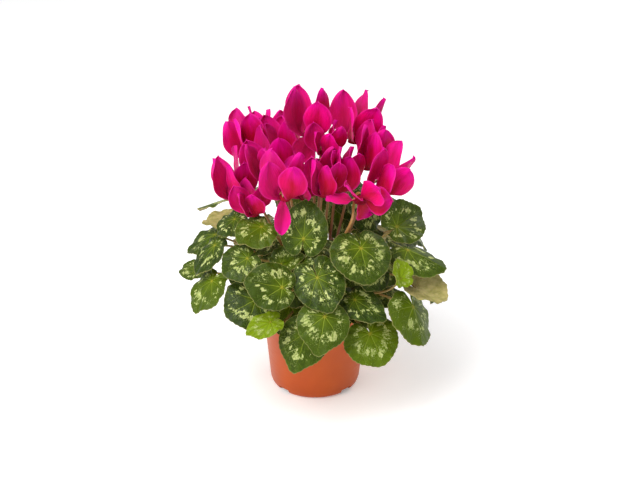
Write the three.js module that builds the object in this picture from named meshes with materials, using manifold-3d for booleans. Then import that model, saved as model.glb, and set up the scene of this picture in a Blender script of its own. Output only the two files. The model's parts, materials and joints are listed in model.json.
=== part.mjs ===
// A potted cyclamen: a nursery pot of compost with a half-buried tuber, from whose crown
// rise marbled heart-shaped leaves on their own stalks and nodding flowers with swept-back petals.
// Millimetres, +Z up, origin at the centre of the pot's base, the plant's face toward -Y.
import * as THREE from 'three';
import { mergeVertices } from 'three/addons/utils/BufferGeometryUtils.js';
import Module from 'manifold-3d';

const wasm = await Module();
wasm.setup();

// ---- driving dimensions ----
const GAP = 0.3; // clearance between pieces that rest on each other

const POT_HEIGHT = 104;
const RIM_RADIUS = 60;
const COLLAR_HEIGHT = 13;
const WALL = 1.3;
const WALL_TOP_RADIUS = 54.6;
const WALL_FOOT_RADIUS = 47.6;
const FOOT_OUTER_RADIUS = 43;
const FOOT_INNER_RADIUS = 38.5;
const FLOOR_UNDERSIDE = 2.5;
const FLOOR_TOP = 4.2;
const BOSS_RADIUS = 6;
const SLOT_WIDTH = 14;
const SLOT_HEIGHT = 5.5;
const NICK_WIDTH = 2.5;
const NICK_HEIGHT = 2.2;
const CUT_RADIUS = 43; // the slots and nicks are cut through the foot's wall here
const CUT_LENGTH = 18;
const POT_SIDES = 36;

const SOIL_TOP = 88;
const SOIL_LUMP = 1.6;
const SOIL_GRAIN = 0.5;
const SOIL_EDGE = 84; // where the compost meets the wall
const SOIL_SIDES = 28;

const TUBER_CENTRE = 86;
const TUBER_RADIUS = 31;
const TUBER_HALF_HEIGHT = 16;

const BLADE_THICKNESS = 0.8;
const PETAL_THICKNESS = 0.8;
const PETIOLE_RADIUS = 1.2;
const STALK_RADIUS = 1.5;
const PETAL_LENGTH = 50;
const PETAL_WIDTH = 28;
const STALK_OPENING = 108; // degrees left open between two petals, where the stalk leaves
const PETAL_SPACING = (360 - STALK_OPENING) / 4;
const PETAL_TURN = 0.115; // how soon a petal turns from the throat's rim to its sweep
const PETAL_TWIST = 52; // degrees that a petal turns about its own midline
const PETAL_FLARE = 6; // degrees that it leans out from the bloom's axis
const PETAL_CURL = -6; // degrees that its tip turns beyond that
// Each petal differs from those three by up to this many degrees.
const PETAL_VARIATION = { twist: 7, flare: 3.5, curl: 13 };
const PETAL_DISH = 0.16; // hollow across a petal, as a share of its half width
// Rows of points along a petal, and its half width at each as a share of the widest.
const PETAL_ROWS = [0, 0.16, 0.52, 0.86];
const PETAL_HALF_WIDTHS = [0.14, 0.36, 1, 0.6];

const THROAT_RADIUS = 5.6;
const THROAT_HEIGHT = 4.6;
const CALYX_RADIUS = 4.4;
const CALYX_TOP = 7.4;

// Radii on the tuber's crown where the stalks root: flowers inside, then the leaves by tier.
const ROOT_RING = { inner: 4.5, outer: 11, upper: 16.5, middle: 21, lower: 25.5 };
const ROOT_DEPTH = 3; // how far a flower stalk stands in the tuber

const BLADE_CURL = 0.12; // droop along the midrib, as a share of the blade's length
const BLADE_ARCH = 0.16; // droop toward the sides
const BLADE_WAVE = 1.1; // height of the margin's waves
const INNER_REACH = 0.55; // where the blade's inner ring of points lies
const TOOTH = 1.03;
const BETWEEN_TEETH = 0.985;
const SINUS_HALF_ANGLE = THREE.MathUtils.degToRad(6);
const FOLIAGE_CENTRE = new THREE.Vector3(0, 0, 100); // the blades' upper faces look away from here

const PETIOLE_RISE = 0.45; // how far a leaf stalk's start turns from the tuber's normal to upright
const CROWN_PULL = 0.42; // lengths of a leaf stalk's two curve handles, as shares of its span
const BLADE_PULL = 0.36;
const ARRIVAL = 50; // degrees between a leaf stalk's end and the midrib
const END_COVER = 0.15; // blade left over a leaf stalk's end, so it doesn't show from above

const UP = new THREE.Vector3(0, 0, 1);

const COLOURS = {
  terracotta: 0xb5532a,
  soil: 0x2e2019,
  leaf: 0x3c6a34,
  petal: 0xd10a78,
  stalk: 0x8a5a46,
};

// ---- helpers: geometry to solid and back ----
function toSolid(geometry) {
  const bare = geometry.index ? geometry.clone() : geometry;
  bare.deleteAttribute('normal');
  bare.deleteAttribute('uv');
  const merged = mergeVertices(bare, 1e-4);
  const mesh = new wasm.Mesh({
    numProp: 3,
    vertProperties: new Float32Array(merged.attributes.position.array),
    triVerts: new Uint32Array(merged.index.array),
  });
  mesh.merge();
  return new wasm.Manifold(mesh);
}

function toGeometry(solid) {
  const mesh = solid.getMesh();
  const geometry = new THREE.BufferGeometry();
  geometry.setAttribute('position', new THREE.BufferAttribute(mesh.vertProperties, 3));
  geometry.setIndex(new THREE.BufferAttribute(mesh.triVerts, 1));
  geometry.computeVertexNormals();
  return geometry;
}

function join(solids) {
  return solids.reduce((whole, next) => whole.add(next));
}

// A lathe profile turned about Z, its points given as [radius, height] from the bottom up.
function turned(profile, sides) {
  const points = profile.map(([radius, height]) => new THREE.Vector2(radius, height));
  return new THREE.LatheGeometry(points, sides).rotateX(Math.PI / 2);
}

// A smooth curve that a tube follows from point to point, so close points give a tight bend.
class RouteCurve extends THREE.CatmullRomCurve3 {
  getUtoTmapping(share) {
    return share;
  }
}

// A round stalk along a curve.
function tube(curve, radius, steps, sides) {
  const corners = [];
  for (let i = 0; i < sides; i += 1) {
    const angle = (i / sides) * 2 * Math.PI;
    corners.push(new THREE.Vector2(radius * Math.cos(angle), radius * Math.sin(angle)));
  }
  const geometry = new THREE.ExtrudeGeometry(new THREE.Shape(corners), {
    extrudePath: curve,
    steps,
    bevelEnabled: false,
  });
  return toSolid(geometry);
}

// A sheet of the given thickness on both sides of a triangulated middle surface. Both faces use the
// same triangles, and the rim closes every edge that has a triangle on one side only.
function thicken(middle, triangles, thickness) {
  const normals = middle.map(() => new THREE.Vector3());
  const face = new THREE.Triangle();
  const normal = new THREE.Vector3();
  for (const [a, b, c] of triangles) {
    face.set(middle[a], middle[b], middle[c]).getNormal(normal);
    for (const corner of [a, b, c]) normals[corner].add(normal);
  }
  const count = middle.length;
  const positions = [];
  for (const side of [1, -1]) {
    middle.forEach((point, i) => {
      const shift = normals[i].clone().setLength((side * thickness) / 2);
      positions.push(point.x + shift.x, point.y + shift.y, point.z + shift.z);
    });
  }
  const edges = new Set();
  for (const [a, b, c] of triangles) {
    edges.add(`${a},${b}`);
    edges.add(`${b},${c}`);
    edges.add(`${c},${a}`);
  }
  const indices = [];
  for (const [a, b, c] of triangles) {
    indices.push(a, b, c, count + a, count + c, count + b);
    for (const [from, to] of [[a, b], [b, c], [c, a]]) {
      if (edges.has(`${to},${from}`)) continue;
      indices.push(to, from, count + from, to, count + from, count + to);
    }
  }
  const geometry = new THREE.BufferGeometry();
  geometry.setAttribute('position', new THREE.Float32BufferAttribute(positions, 3));
  geometry.setIndex(indices);
  return toSolid(geometry);
}

// ---- the leaf blade ----
// Heart-shaped outline about the junction with the stalk, as a fraction of the junction-to-tip
// length: a short point at the tip, and lobes that round off toward the sinus.
function heartRadius(angle, { lobes = 0.06, point = 0.08 }) {
  const lobe = (1 - (Math.abs(angle) / Math.PI) ** 12) ** 0.75;
  const body = 1 - point - 0.22 * (1 - Math.cos(angle));
  const beak = point * Math.exp(-((angle / 0.25) ** 2));
  return (body + beak + lobes * Math.sin(angle / 2) ** 2) * lobe;
}

// The frame of a blade: along its midrib, out of its upper face, and across it.
function bladeFrame(leaf) {
  const junction = new THREE.Vector3(...leaf.junction);
  const along = new THREE.Vector3(...leaf.tip).sub(junction);
  const length = along.length();
  along.normalize();
  const out = junction.clone().sub(FOLIAGE_CENTRE);
  out.addScaledVector(along, -out.dot(along)).normalize();
  out.applyAxisAngle(along, THREE.MathUtils.degToRad(leaf.roll ?? 0));
  const across = out.clone().cross(along);
  return { junction, along, out, across, length };
}

function bladePoint(leaf, frame, reach, angle, scallop) {
  const radius = reach * heartRadius(angle, leaf) * frame.length * scallop;
  const fold = THREE.MathUtils.degToRad(leaf.fold ?? 0);
  const u = radius * Math.cos(angle);
  const v = radius * Math.sin(angle) * (leaf.width ?? 1);
  const wave = BLADE_WAVE * reach ** 3 * Math.sin(5 * angle + (leaf.phase ?? 0));
  const height = wave - (BLADE_CURL * u * u + BLADE_ARCH * v * v) / frame.length;
  const sideways = v * Math.cos(fold);
  const raised = height + Math.abs(v) * Math.sin(fold);
  return frame.junction.clone()
    .addScaledVector(frame.along, u)
    .addScaledVector(frame.across, sideways)
    .addScaledVector(frame.out, raised);
}

// One inner point serves four steps of the outline.
function blade(leaf, frame, outlineSteps) {
  const innerSteps = outlineSteps / 4;
  const limit = Math.PI - SINUS_HALF_ANGLE;
  const angleAt = (i, steps) => -limit + (2 * limit * i) / steps;
  const middle = [frame.junction.clone()];
  for (let i = 0; i <= innerSteps; i += 1) {
    middle.push(bladePoint(leaf, frame, INNER_REACH, angleAt(i, innerSteps), 1));
  }
  for (let i = 0; i <= outlineSteps; i += 1) {
    const scallop = i % 2 ? TOOTH : BETWEEN_TEETH;
    middle.push(bladePoint(leaf, frame, 1, angleAt(i, outlineSteps), scallop));
  }
  const inner = (i) => 1 + i;
  const outer = (i) => 2 + innerSteps + i;
  const triangles = [];
  for (let i = 0; i < innerSteps; i += 1) {
    triangles.push([0, inner(i), inner(i + 1)]);
    triangles.push([inner(i), outer(4 * i), outer(4 * i + 1)]);
    triangles.push([inner(i), outer(4 * i + 1), outer(4 * i + 2)]);
    triangles.push([inner(i), outer(4 * i + 2), inner(i + 1)]);
    triangles.push([inner(i + 1), outer(4 * i + 2), outer(4 * i + 3)]);
    triangles.push([inner(i + 1), outer(4 * i + 3), outer(4 * i + 4)]);
  }
  return thicken(middle, triangles, BLADE_THICKNESS);
}

// ---- stalks of leaves ----
function tuberPoint(azimuth, ring) {
  const angle = THREE.MathUtils.degToRad(azimuth);
  const height = TUBER_CENTRE + TUBER_HALF_HEIGHT * Math.sqrt(1 - (ring / TUBER_RADIUS) ** 2);
  return new THREE.Vector3(ring * Math.sin(angle), -ring * Math.cos(angle), height);
}

function tuberNormal(point) {
  return new THREE.Vector3(
    point.x / TUBER_RADIUS ** 2,
    point.y / TUBER_RADIUS ** 2,
    (point.z - TUBER_CENTRE) / TUBER_HALF_HEIGHT ** 2,
  ).normalize();
}

// Azimuth in degrees from the plant's face, positive toward +X.
function azimuthOf(point) {
  return THREE.MathUtils.radToDeg(Math.atan2(point.x, -point.y));
}

// A leaf stalk rises from the crown, leans out over the rim and meets the blade from inside.
function petiole(leaf, frame, steps, sides) {
  const azimuth = leaf.root ?? azimuthOf(frame.junction);
  const foot = tuberPoint(azimuth, ROOT_RING[leaf.tier]);
  const normal = tuberNormal(foot);
  foot.addScaledVector(normal, GAP);
  const distance = foot.distanceTo(frame.junction);
  const start = normal.clone().lerp(UP, PETIOLE_RISE).normalize();
  const arrival = THREE.MathUtils.degToRad(leaf.arrival ?? ARRIVAL);
  const end = frame.along.clone().multiplyScalar(Math.cos(arrival))
    .addScaledVector(frame.out, Math.sin(arrival));
  const level = (PETIOLE_RADIUS * Math.cos(arrival) - END_COVER) / Math.sin(arrival);
  const depth = Math.min(level, BLADE_THICKNESS);
  const curve = new THREE.CubicBezierCurve3(
    foot,
    foot.clone().addScaledVector(start, CROWN_PULL * distance),
    frame.junction.clone().addScaledVector(end, -BLADE_PULL * distance),
    frame.junction.clone().addScaledVector(end, -depth),
  );
  return tube(curve, PETIOLE_RADIUS, steps, sides);
}

function leafSolid(leaf, outlineSteps, steps, sides) {
  const frame = bladeFrame(leaf);
  return blade(leaf, frame, outlineSteps).add(petiole(leaf, frame, steps, sides));
}

// ---- the flower ----
// The frame of a bloom: its axis (the way the petals sweep), the side its stalk leaves by, and the
// direction square to both.
function bloomFrame(bloom) {
  const throat = new THREE.Vector3(...bloom.throat);
  const axis = new THREE.Vector3(...(bloom.axis ?? defaultAxis(throat))).normalize();
  const inward = new THREE.Vector3(-throat.x, -throat.y, 0);
  inward.addScaledVector(axis, -inward.dot(axis)).normalize();
  const square = axis.clone().cross(inward);
  return { throat, axis, inward, square };
}

// Blooms lean a little out from the middle of the plant.
function defaultAxis(throat) {
  return [throat.x / 300, throat.y / 300, 1];
}

// A repeatable draw between -1 and 1 for each seed.
function vary(seed) {
  const mixed = Math.sin(seed * 12.9898) * 43758.5453;
  return 2 * (mixed - Math.floor(mixed)) - 1;
}

function petal(bloom, frame, index) {
  const own = bloom.petals?.[index] ?? {};
  const seed = 10 * BLOOMS.indexOf(bloom) + index;
  const placed = THREE.MathUtils.degToRad(STALK_OPENING / 2 + PETAL_SPACING * index);
  const outward = frame.inward.clone().multiplyScalar(Math.cos(placed))
    .addScaledVector(frame.square, Math.sin(placed));
  const sideways = frame.axis.clone().cross(outward);
  const scale = (bloom.length ?? 1) * (own.length ?? 1);
  const length = PETAL_LENGTH * scale * (1 + 0.1 * vary(seed + 1));
  const lean = own.flare ?? bloom.flare ?? PETAL_FLARE;
  const flare = THREE.MathUtils.degToRad(lean + PETAL_VARIATION.flare * vary(seed + 2));
  const tipCurl = THREE.MathUtils.degToRad(PETAL_CURL + PETAL_VARIATION.curl * vary(seed + 3));
  const twist = THREE.MathUtils.degToRad(PETAL_TWIST + PETAL_VARIATION.twist * vary(seed + 6));
  const slope = (t) => flare + (Math.PI / 2 - flare) * Math.exp(-t / PETAL_TURN) + tipCurl * t * t;
  const centreAt = (t) => {
    const point = frame.throat.clone().addScaledVector(outward, THROAT_RADIUS - 2.2)
      .addScaledVector(frame.axis, 0.6);
    const pieces = 24;
    for (let i = 0; i < pieces; i += 1) {
      const angle = slope((t * (i + 0.5)) / pieces);
      point.addScaledVector(outward, (Math.sin(angle) * t * length) / pieces);
      point.addScaledVector(frame.axis, (Math.cos(angle) * t * length) / pieces);
    }
    return point;
  };
  const middle = [];
  PETAL_ROWS.forEach((t, row) => {
    const angle = slope(t);
    const face = outward.clone().multiplyScalar(Math.cos(angle))
      .addScaledVector(frame.axis, -Math.sin(angle));
    const turn = twist * Math.min(1, t / 0.3);
    const across = sideways.clone().multiplyScalar(Math.cos(turn))
      .addScaledVector(face, Math.sin(turn));
    const square = face.clone().multiplyScalar(Math.cos(turn))
      .addScaledVector(sideways, -Math.sin(turn));
    const widest = (PETAL_WIDTH / 2) * (bloom.width ?? 1) * (own.width ?? 1);
    const half = widest * PETAL_HALF_WIDTHS[row];
    const centre = centreAt(t);
    for (const side of [-1, 0, 1]) {
      middle.push(centre.clone().addScaledVector(across, side * half)
        .addScaledVector(square, -PETAL_DISH * half * side * side));
    }
  });
  middle.push(centreAt(1));
  const triangles = [];
  const rows = PETAL_ROWS.length;
  for (let row = 0; row < rows - 1; row += 1) {
    for (let column = 0; column < 2; column += 1) {
      const corner = 3 * row + column;
      triangles.push([corner, corner + 1, corner + 3], [corner + 1, corner + 4, corner + 3]);
    }
  }
  const last = 3 * (rows - 1);
  triangles.push([last, last + 1, last + 3], [last + 1, last + 2, last + 3]);
  return thicken(middle, triangles, PETAL_THICKNESS);
}

// A piece turned about a bloom's axis, its profile given as [radius, height along the axis].
function aboutAxis(frame, profile, sides) {
  const geometry = turned(profile, sides);
  const place = new THREE.Matrix4().makeBasis(frame.inward, frame.square, frame.axis)
    .setPosition(frame.throat);
  return toSolid(geometry.applyMatrix4(place));
}

const THROAT_PROFILE = [
  [0, -1], [THROAT_RADIUS, -1], [THROAT_RADIUS - 1, THROAT_HEIGHT], [0, THROAT_HEIGHT],
];
const CALYX_PROFILE = [[0, THROAT_HEIGHT + GAP], [CALYX_RADIUS, THROAT_HEIGHT + GAP], [0, CALYX_TOP]];

function bloomSolid(bloom) {
  const frame = bloomFrame(bloom);
  const parts = [aboutAxis(frame, THROAT_PROFILE, 7)];
  for (let index = 0; index < 5; index += 1) parts.push(petal(bloom, frame, index));
  return join(parts);
}

// A flower stalk stands in the tuber's crown, runs up past the throat on its stalk side, and hooks
// over to the calyx. The hook's points are [toward the stalk side, along the axis].
const HOOK = [[0.2, 5.9], [0.8, 8.4], [4.2, 9.6], [8.4, 6.6], [10.6, -1], [12.4, -12]];

function flowerStalk(bloom) {
  const frame = bloomFrame(bloom);
  const hook = HOOK.map(([side, along]) => frame.throat.clone()
    .addScaledVector(frame.inward, side)
    .addScaledVector(frame.axis, along));
  const crown = tuberPoint(bloom.root ?? azimuthOf(frame.throat), ROOT_RING[bloom.ring]);
  const foot = crown.clone().addScaledVector(tuberNormal(crown), -ROOT_DEPTH);
  const lean = hook[hook.length - 1].clone().sub(foot);
  const lower = foot.clone().addScaledVector(lean, 0.3).addScaledVector(UP, 6);
  const upper = foot.clone().addScaledVector(lean, 0.68).addScaledVector(UP, 3);
  const route = [...hook, upper, lower, foot];
  const stalk = tube(new RouteCurve(route), STALK_RADIUS, route.length - 1, 4);
  return stalk.add(aboutAxis(frame, CALYX_PROFILE, 6));
}

// ---- pot, compost and tuber ----
function potSolid() {
  const collarFoot = POT_HEIGHT - COLLAR_HEIGHT;
  const profile = [
    [0, 0], [BOSS_RADIUS, 0], [BOSS_RADIUS + 1, FLOOR_UNDERSIDE],
    [FOOT_INNER_RADIUS, FLOOR_UNDERSIDE], [FOOT_INNER_RADIUS, 0], [FOOT_OUTER_RADIUS, 0],
    [46.4, 2.2], [WALL_FOOT_RADIUS, 6.5], [WALL_TOP_RADIUS, collarFoot - 3],
    [RIM_RADIUS - 1.2, collarFoot], [RIM_RADIUS, collarFoot + 1.6], [RIM_RADIUS, POT_HEIGHT - 1],
    [RIM_RADIUS - 0.8, POT_HEIGHT], [RIM_RADIUS - WALL - 0.6, POT_HEIGHT],
    [RIM_RADIUS - WALL - 1, collarFoot + 2], [WALL_TOP_RADIUS - WALL, collarFoot - 1.6],
    [WALL_FOOT_RADIUS - WALL, 7.4], [44.4, 4.8], [42.6, FLOOR_TOP], [0, FLOOR_TOP],
  ];
  let pot = toSolid(turned(profile, POT_SIDES));
  for (let quarter = 0; quarter < 4; quarter += 1) {
    const slot = new THREE.BoxGeometry(SLOT_WIDTH, CUT_LENGTH, SLOT_HEIGHT + 1)
      .translate(0, -CUT_RADIUS, (SLOT_HEIGHT - 1) / 2)
      .rotateZ(Math.PI / 4 + (quarter * Math.PI) / 2);
    const nick = new THREE.BoxGeometry(NICK_WIDTH, CUT_LENGTH, NICK_HEIGHT + 1)
      .translate(0, -CUT_RADIUS, (NICK_HEIGHT - 1) / 2)
      .rotateZ((quarter * Math.PI) / 2);
    pot = pot.subtract(toSolid(slot)).subtract(toSolid(nick));
  }
  return pot;
}

function tuberSolid(grown = 0) {
  const sphere = new THREE.SphereGeometry(1, 18, 9).rotateX(Math.PI / 2);
  sphere.scale(TUBER_RADIUS + grown, TUBER_RADIUS + grown, TUBER_HALF_HEIGHT + grown);
  return toSolid(sphere.translate(0, 0, TUBER_CENTRE));
}

// The compost's surface: low mounds, worked out from the place.
function soilHeight(x, y) {
  const mound = SOIL_LUMP * Math.sin(x * 0.31 + 1.2) * Math.cos(y * 0.27 + 0.4);
  return mound + SOIL_GRAIN * Math.sin(x * 0.9 - y * 0.7);
}

function soilSolid() {
  const taper = (WALL_TOP_RADIUS - WALL_FOOT_RADIUS) / (POT_HEIGHT - COLLAR_HEIGHT - 9.5);
  const wallAt = (z) => WALL_FOOT_RADIUS - WALL - 1 + (z - 7.4) * taper;
  const edge = wallAt(SOIL_EDGE);
  const profile = [[0, FLOOR_TOP + GAP], [40, FLOOR_TOP + GAP], [wallAt(9), 9], [edge, SOIL_EDGE]];
  for (const share of [0.93, 0.75, 0.5, 0]) profile.push([edge * share, SOIL_TOP]);
  const geometry = turned(profile, SOIL_SIDES);
  const place = geometry.attributes.position;
  for (let i = 0; i < place.count; i += 1) {
    const lies = place.getZ(i) > SOIL_EDGE + 1;
    if (lies) place.setZ(i, SOIL_TOP + soilHeight(place.getX(i), place.getY(i)));
  }
  return toSolid(geometry).subtract(tuberSolid(GAP));
}

// ---- what grows where ----
// Leaves of the plant's face and sides: where the stalk meets the blade, where the tip lies, and
// how the blade is turned. Lengths in mm, angles in degrees.
const FACE_LEAVES = [
  {
    tier: 'upper', root: 19, junction: [43, -91, 200], tip: [51, -117, 176],
    width: 1.1, lobes: 0.14, point: 0.1,
  },
  {
    tier: 'middle', root: 11, junction: [2, -103, 175], tip: [15, -127, 152],
    width: 0.86, lobes: 0.22, point: 0.1,
  },
  { tier: 'upper', root: -22, junction: [-11, -81, 205], tip: [-8, -67, 239], width: 0.82 },
  {
    tier: 'middle', root: -15, junction: [-31, -113, 170], tip: [-65, -118, 180],
    width: 0.91, lobes: -0.06, roll: 15,
  },
  {
    tier: 'lower', root: 4, junction: [9, -119, 142], tip: [3, -141, 112],
    width: 1.02, point: 0.18,
  },
  {
    tier: 'lower', root: -5, junction: [-8, -110, 119], tip: [-21, -130, 86],
    width: 0.9, point: 0.18,
  },
  {
    tier: 'middle', root: 18, junction: [38, -96, 147], tip: [68, -112, 136],
    width: 0.76, point: 0.16, roll: -20,
  },
  { tier: 'lower', root: 18, junction: [53, -102, 113], tip: [67, -120, 89], width: 1.14 },
  {
    tier: 'lower', root: 40, junction: [95, -87, 134], tip: [106, -112, 107],
    width: 1.06, point: 0.05, fold: -6, roll: -6,
  },
  { tier: 'middle', root: 34, junction: [56, -74, 170], tip: [50, -95, 158], width: 1.14 },
  { tier: 'lower', root: 34, junction: [82, -83, 163], tip: [79, -73, 180], width: 0.97, fold: 30 },
  {
    tier: 'lower', root: 56, junction: [99, -67, 144], tip: [128, -75, 133],
    width: 1.14, fold: -12, roll: 160, arrival: 25,
  },
  {
    tier: 'upper', root: 52, junction: [90, -59, 182], tip: [128, -71, 171],
    width: 0.72, fold: -25,
  },
  {
    tier: 'upper', root: 66, junction: [80, -39, 197], tip: [107, -12, 205],
    width: 0.95, point: 0.16, fold: 22,
  },
  { tier: 'middle', root: 72, junction: [81, -23, 177], tip: [102, -29, 175], width: 1.14 },
  {
    tier: 'upper', root: -33, junction: [-51, -72, 213], tip: [-73, -87, 206],
    width: 1.14, lobes: -0.04,
  },
  { tier: 'upper', root: -58, junction: [-78, -45, 208], tip: [-95, -55, 197], width: 1.14 },
  {
    tier: 'middle', root: -74, junction: [-100, -20, 179], tip: [-130, -24, 165],
    width: 0.94, lobes: -0.08,
  },
  {
    tier: 'middle', root: -56, junction: [-98, -50, 182], tip: [-118, -70, 162],
    width: 0.82, lobes: -0.14,
  },
  {
    tier: 'middle', root: -38, junction: [-64, -91, 189], tip: [-87, -102, 179],
    width: 1.12, lobes: -0.06,
  },
  {
    tier: 'lower', root: -50, junction: [-100, -73, 155], tip: [-119, -91, 132],
    width: 0.92, lobes: -0.1,
  },
  { tier: 'lower', root: -82, junction: [-120, -16, 138], tip: [-140, -11, 134], width: 0.72 },
  {
    tier: 'lower', root: -26, junction: [-57, -100, 149], tip: [-85, -112, 140],
    width: 1.14, lobes: -0.06,
  },
  {
    tier: 'lower', root: -15, junction: [-42, -121, 137], tip: [-65, -130, 131],
    width: 0.72, roll: 38, arrival: 75,
  },
  { tier: 'upper', root: -114, junction: [-88, 48, 188], tip: [-124, 50, 178], width: 0.85 },
  {
    tier: 'upper', root: -82, junction: [-84, -10, 193], tip: [-112, -17, 187],
    width: 0.85, roll: 175, arrival: 12,
  },
  {
    tier: 'middle', root: -27, junction: [-32, -77, 176], tip: [-12, -81, 188],
    width: 0.9, fold: 30,
  },
  { tier: 'middle', root: -5, junction: [-13, -81, 177], tip: [4, -89, 187], width: 0.85 },
];

// Leaves round the plant's back, in three tiers like those of its face: the first azimuth, the
// step between leaves, and how far out and how high each junction and tip lies.
const BACK_TIERS = [
  { tier: 'upper', count: 3, first: 112, step: 48, junction: [78, 199], tip: [107, 180] },
  { tier: 'middle', count: 4, first: 98, step: 32, junction: [98, 172], tip: [120, 147] },
  { tier: 'lower', count: 5, first: 78, step: 36, junction: [106, 140], tip: [128, 113] },
];

function backLeaves() {
  const leaves = [];
  BACK_TIERS.forEach((row, tierIndex) => {
    for (let i = 0; i < row.count; i += 1) {
      const seed = 31 * tierIndex + 5 * i;
      const azimuth = row.first + row.step * i + 3 * vary(seed);
      const place = ([reach, height], turn) => {
        const angle = THREE.MathUtils.degToRad(azimuth + turn);
        return [reach * Math.sin(angle), -reach * Math.cos(angle), height + 3 * vary(seed + 1)];
      };
      leaves.push({
        tier: row.tier,
        root: azimuth,
        junction: place(row.junction, 0),
        tip: place(row.tip, 5 * vary(seed + 2)),
        width: 1 + 0.1 * vary(seed + 3),
        phase: seed,
      });
    }
  });
  return leaves;
}

// Flowers: the throat of each bloom, the ring it roots in, and how its petals lie.
const BLOOMS = [
  { ring: 'outer', root: -59, throat: [-44, -34, 246], flare: 13 },
  { ring: 'outer', root: -76, throat: [-76, -31, 224], axis: [-0.1, -0.15, 1], width: 0.85 },
  { ring: 'outer', throat: [-58, -60, 222], flare: 14, length: 0.68, width: 0.8 },
  {
    ring: 'outer', root: -30, throat: [-28, -80, 247],
    petals: { 2: { flare: 160, length: 0.7, width: 0.65 } },
  },
  { ring: 'inner', root: 13, throat: [-10, -45, 232], flare: 11, length: 0.8 },
  { ring: 'outer', root: -8, throat: [8, -66, 245], length: 0.88, width: 0.8 },
  { ring: 'inner', root: 23, throat: [21, -48, 241], axis: [0.2, -0.1, 1], flare: 7.7 },
  {
    ring: 'outer', root: 3, throat: [42, -90, 248],
    axis: [0, 0.75, 0.66], flare: 90, length: 0.57,
  },
  { ring: 'outer', throat: [50, -24, 254] },
  { ring: 'outer', throat: [38, 8, 268], flare: 16 },
  { ring: 'outer', root: 44, throat: [61, -54, 241], axis: [0.35, -0.2, 1], flare: 12 },
  { ring: 'inner', throat: [9, -30, 271], flare: 17, length: 0.66, width: 0.75 },
  {
    ring: 'inner', root: -10, throat: [-6, -14, 282],
    flare: 10, petals: { 2: { flare: 140, length: 0.6 } },
  },
  { ring: 'outer', root: -94, throat: [-62, 0, 254] },
  { ring: 'outer', throat: [-46, 44, 239], length: 0.9 },
  { ring: 'inner', throat: [-28, 13, 245], flare: 10 },
];

// ---- the scene graph ----
const plant = new THREE.Group();

function addPiece(name, solid, colour, roughness) {
  const material = new THREE.MeshStandardMaterial({ color: colour, roughness, metalness: 0 });
  const mesh = new THREE.Mesh(toGeometry(solid), material);
  mesh.name = name;
  plant.add(mesh);
}

addPiece('pot', potSolid(), COLOURS.terracotta, 0.45);
addPiece('soil', soilSolid(), COLOURS.soil, 0.95);
addPiece('tuber_and_stalks', join([tuberSolid(), ...BLOOMS.map(flowerStalk)]), COLOURS.stalk, 0.6);

function addLeaves(label, leaves, outlineSteps) {
  leaves.forEach((leaf, i) => {
    const name = `${label}_${String(i + 1).padStart(2, '0')}`;
    addPiece(name, leafSolid(leaf, outlineSteps, 5, 4), COLOURS.leaf, 0.5);
  });
}

addLeaves('leaf', FACE_LEAVES, 20);
addLeaves('back_leaf', backLeaves(), 12);

BLOOMS.forEach((bloom, i) => {
  addPiece(`bloom_${String(i + 1).padStart(2, '0')}`, bloomSolid(bloom), COLOURS.petal, 0.55);
});

export default plant;
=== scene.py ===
# %% [markdown]
# # A potted cyclamen, piece by piece
# A florist's cyclamen is a half-buried tuber in a nursery pot. Leaves and flowers rise from its
# crown, each on a stalk of its own. The solid model already says where every leaf, flower and stalk
# is, in millimetres. This lesson dresses it: finer blades and petals on the same rules, and
# procedural finishes for marbled leaf, velvety petal, fleshy stalk, compost and moulded plastic.

# %% Load the solid model
import json
import math

import bpy
import numpy as np
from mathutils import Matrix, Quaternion, Vector, noise

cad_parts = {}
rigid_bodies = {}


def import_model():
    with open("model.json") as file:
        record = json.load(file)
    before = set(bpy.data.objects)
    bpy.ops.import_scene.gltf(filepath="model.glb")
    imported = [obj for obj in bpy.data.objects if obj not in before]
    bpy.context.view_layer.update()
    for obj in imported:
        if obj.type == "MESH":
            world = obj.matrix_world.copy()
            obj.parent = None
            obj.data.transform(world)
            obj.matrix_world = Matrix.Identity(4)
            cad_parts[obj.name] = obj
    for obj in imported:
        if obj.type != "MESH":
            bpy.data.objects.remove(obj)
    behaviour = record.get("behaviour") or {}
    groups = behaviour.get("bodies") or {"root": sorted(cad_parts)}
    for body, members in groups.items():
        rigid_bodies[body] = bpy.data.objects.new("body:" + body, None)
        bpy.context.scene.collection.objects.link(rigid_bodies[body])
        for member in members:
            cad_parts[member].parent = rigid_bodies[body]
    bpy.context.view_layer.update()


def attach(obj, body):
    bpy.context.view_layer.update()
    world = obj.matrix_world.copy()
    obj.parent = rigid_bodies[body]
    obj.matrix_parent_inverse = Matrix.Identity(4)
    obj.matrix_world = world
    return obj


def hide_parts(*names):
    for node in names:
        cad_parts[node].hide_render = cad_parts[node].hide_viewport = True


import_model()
MM = 0.001

# %% [markdown]
# ## The studio
# The plant stands on plain white under a large soft light from the upper left, which leaves a faint
# shadow on its right. A white world fills the shadows. The camera looks down at 26.5 degrees from
# 1.25 m, with a lens long enough to keep the pot's sides nearly parallel.

# %% World, floor, lights and camera
CAMERA_DISTANCE = 1.25
CAMERA_ELEVATION = math.radians(26.5)
CAMERA_TARGET = Vector((0, 0, 0.165))
FRAME_WIDTH = 640
FRAME_HEIGHT = 480
FOCAL_PIXELS = 1225.6
CENTRE_PIXEL = (315, 238.3)
SENSOR_WIDTH = 36
WORLD_STRENGTH = 0.5
FLOOR_REACH = 4

scene = bpy.context.scene
scene.view_settings.view_transform = "Standard"


def link(thing):
    scene.collection.objects.link(thing)
    return thing


world = bpy.data.worlds.new("white room")
world.use_nodes = True
background = world.node_tree.nodes["Background"].inputs
background["Color"].default_value = (1, 1, 1, 1)
background["Strength"].default_value = WORLD_STRENGTH
scene.world = world

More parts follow.
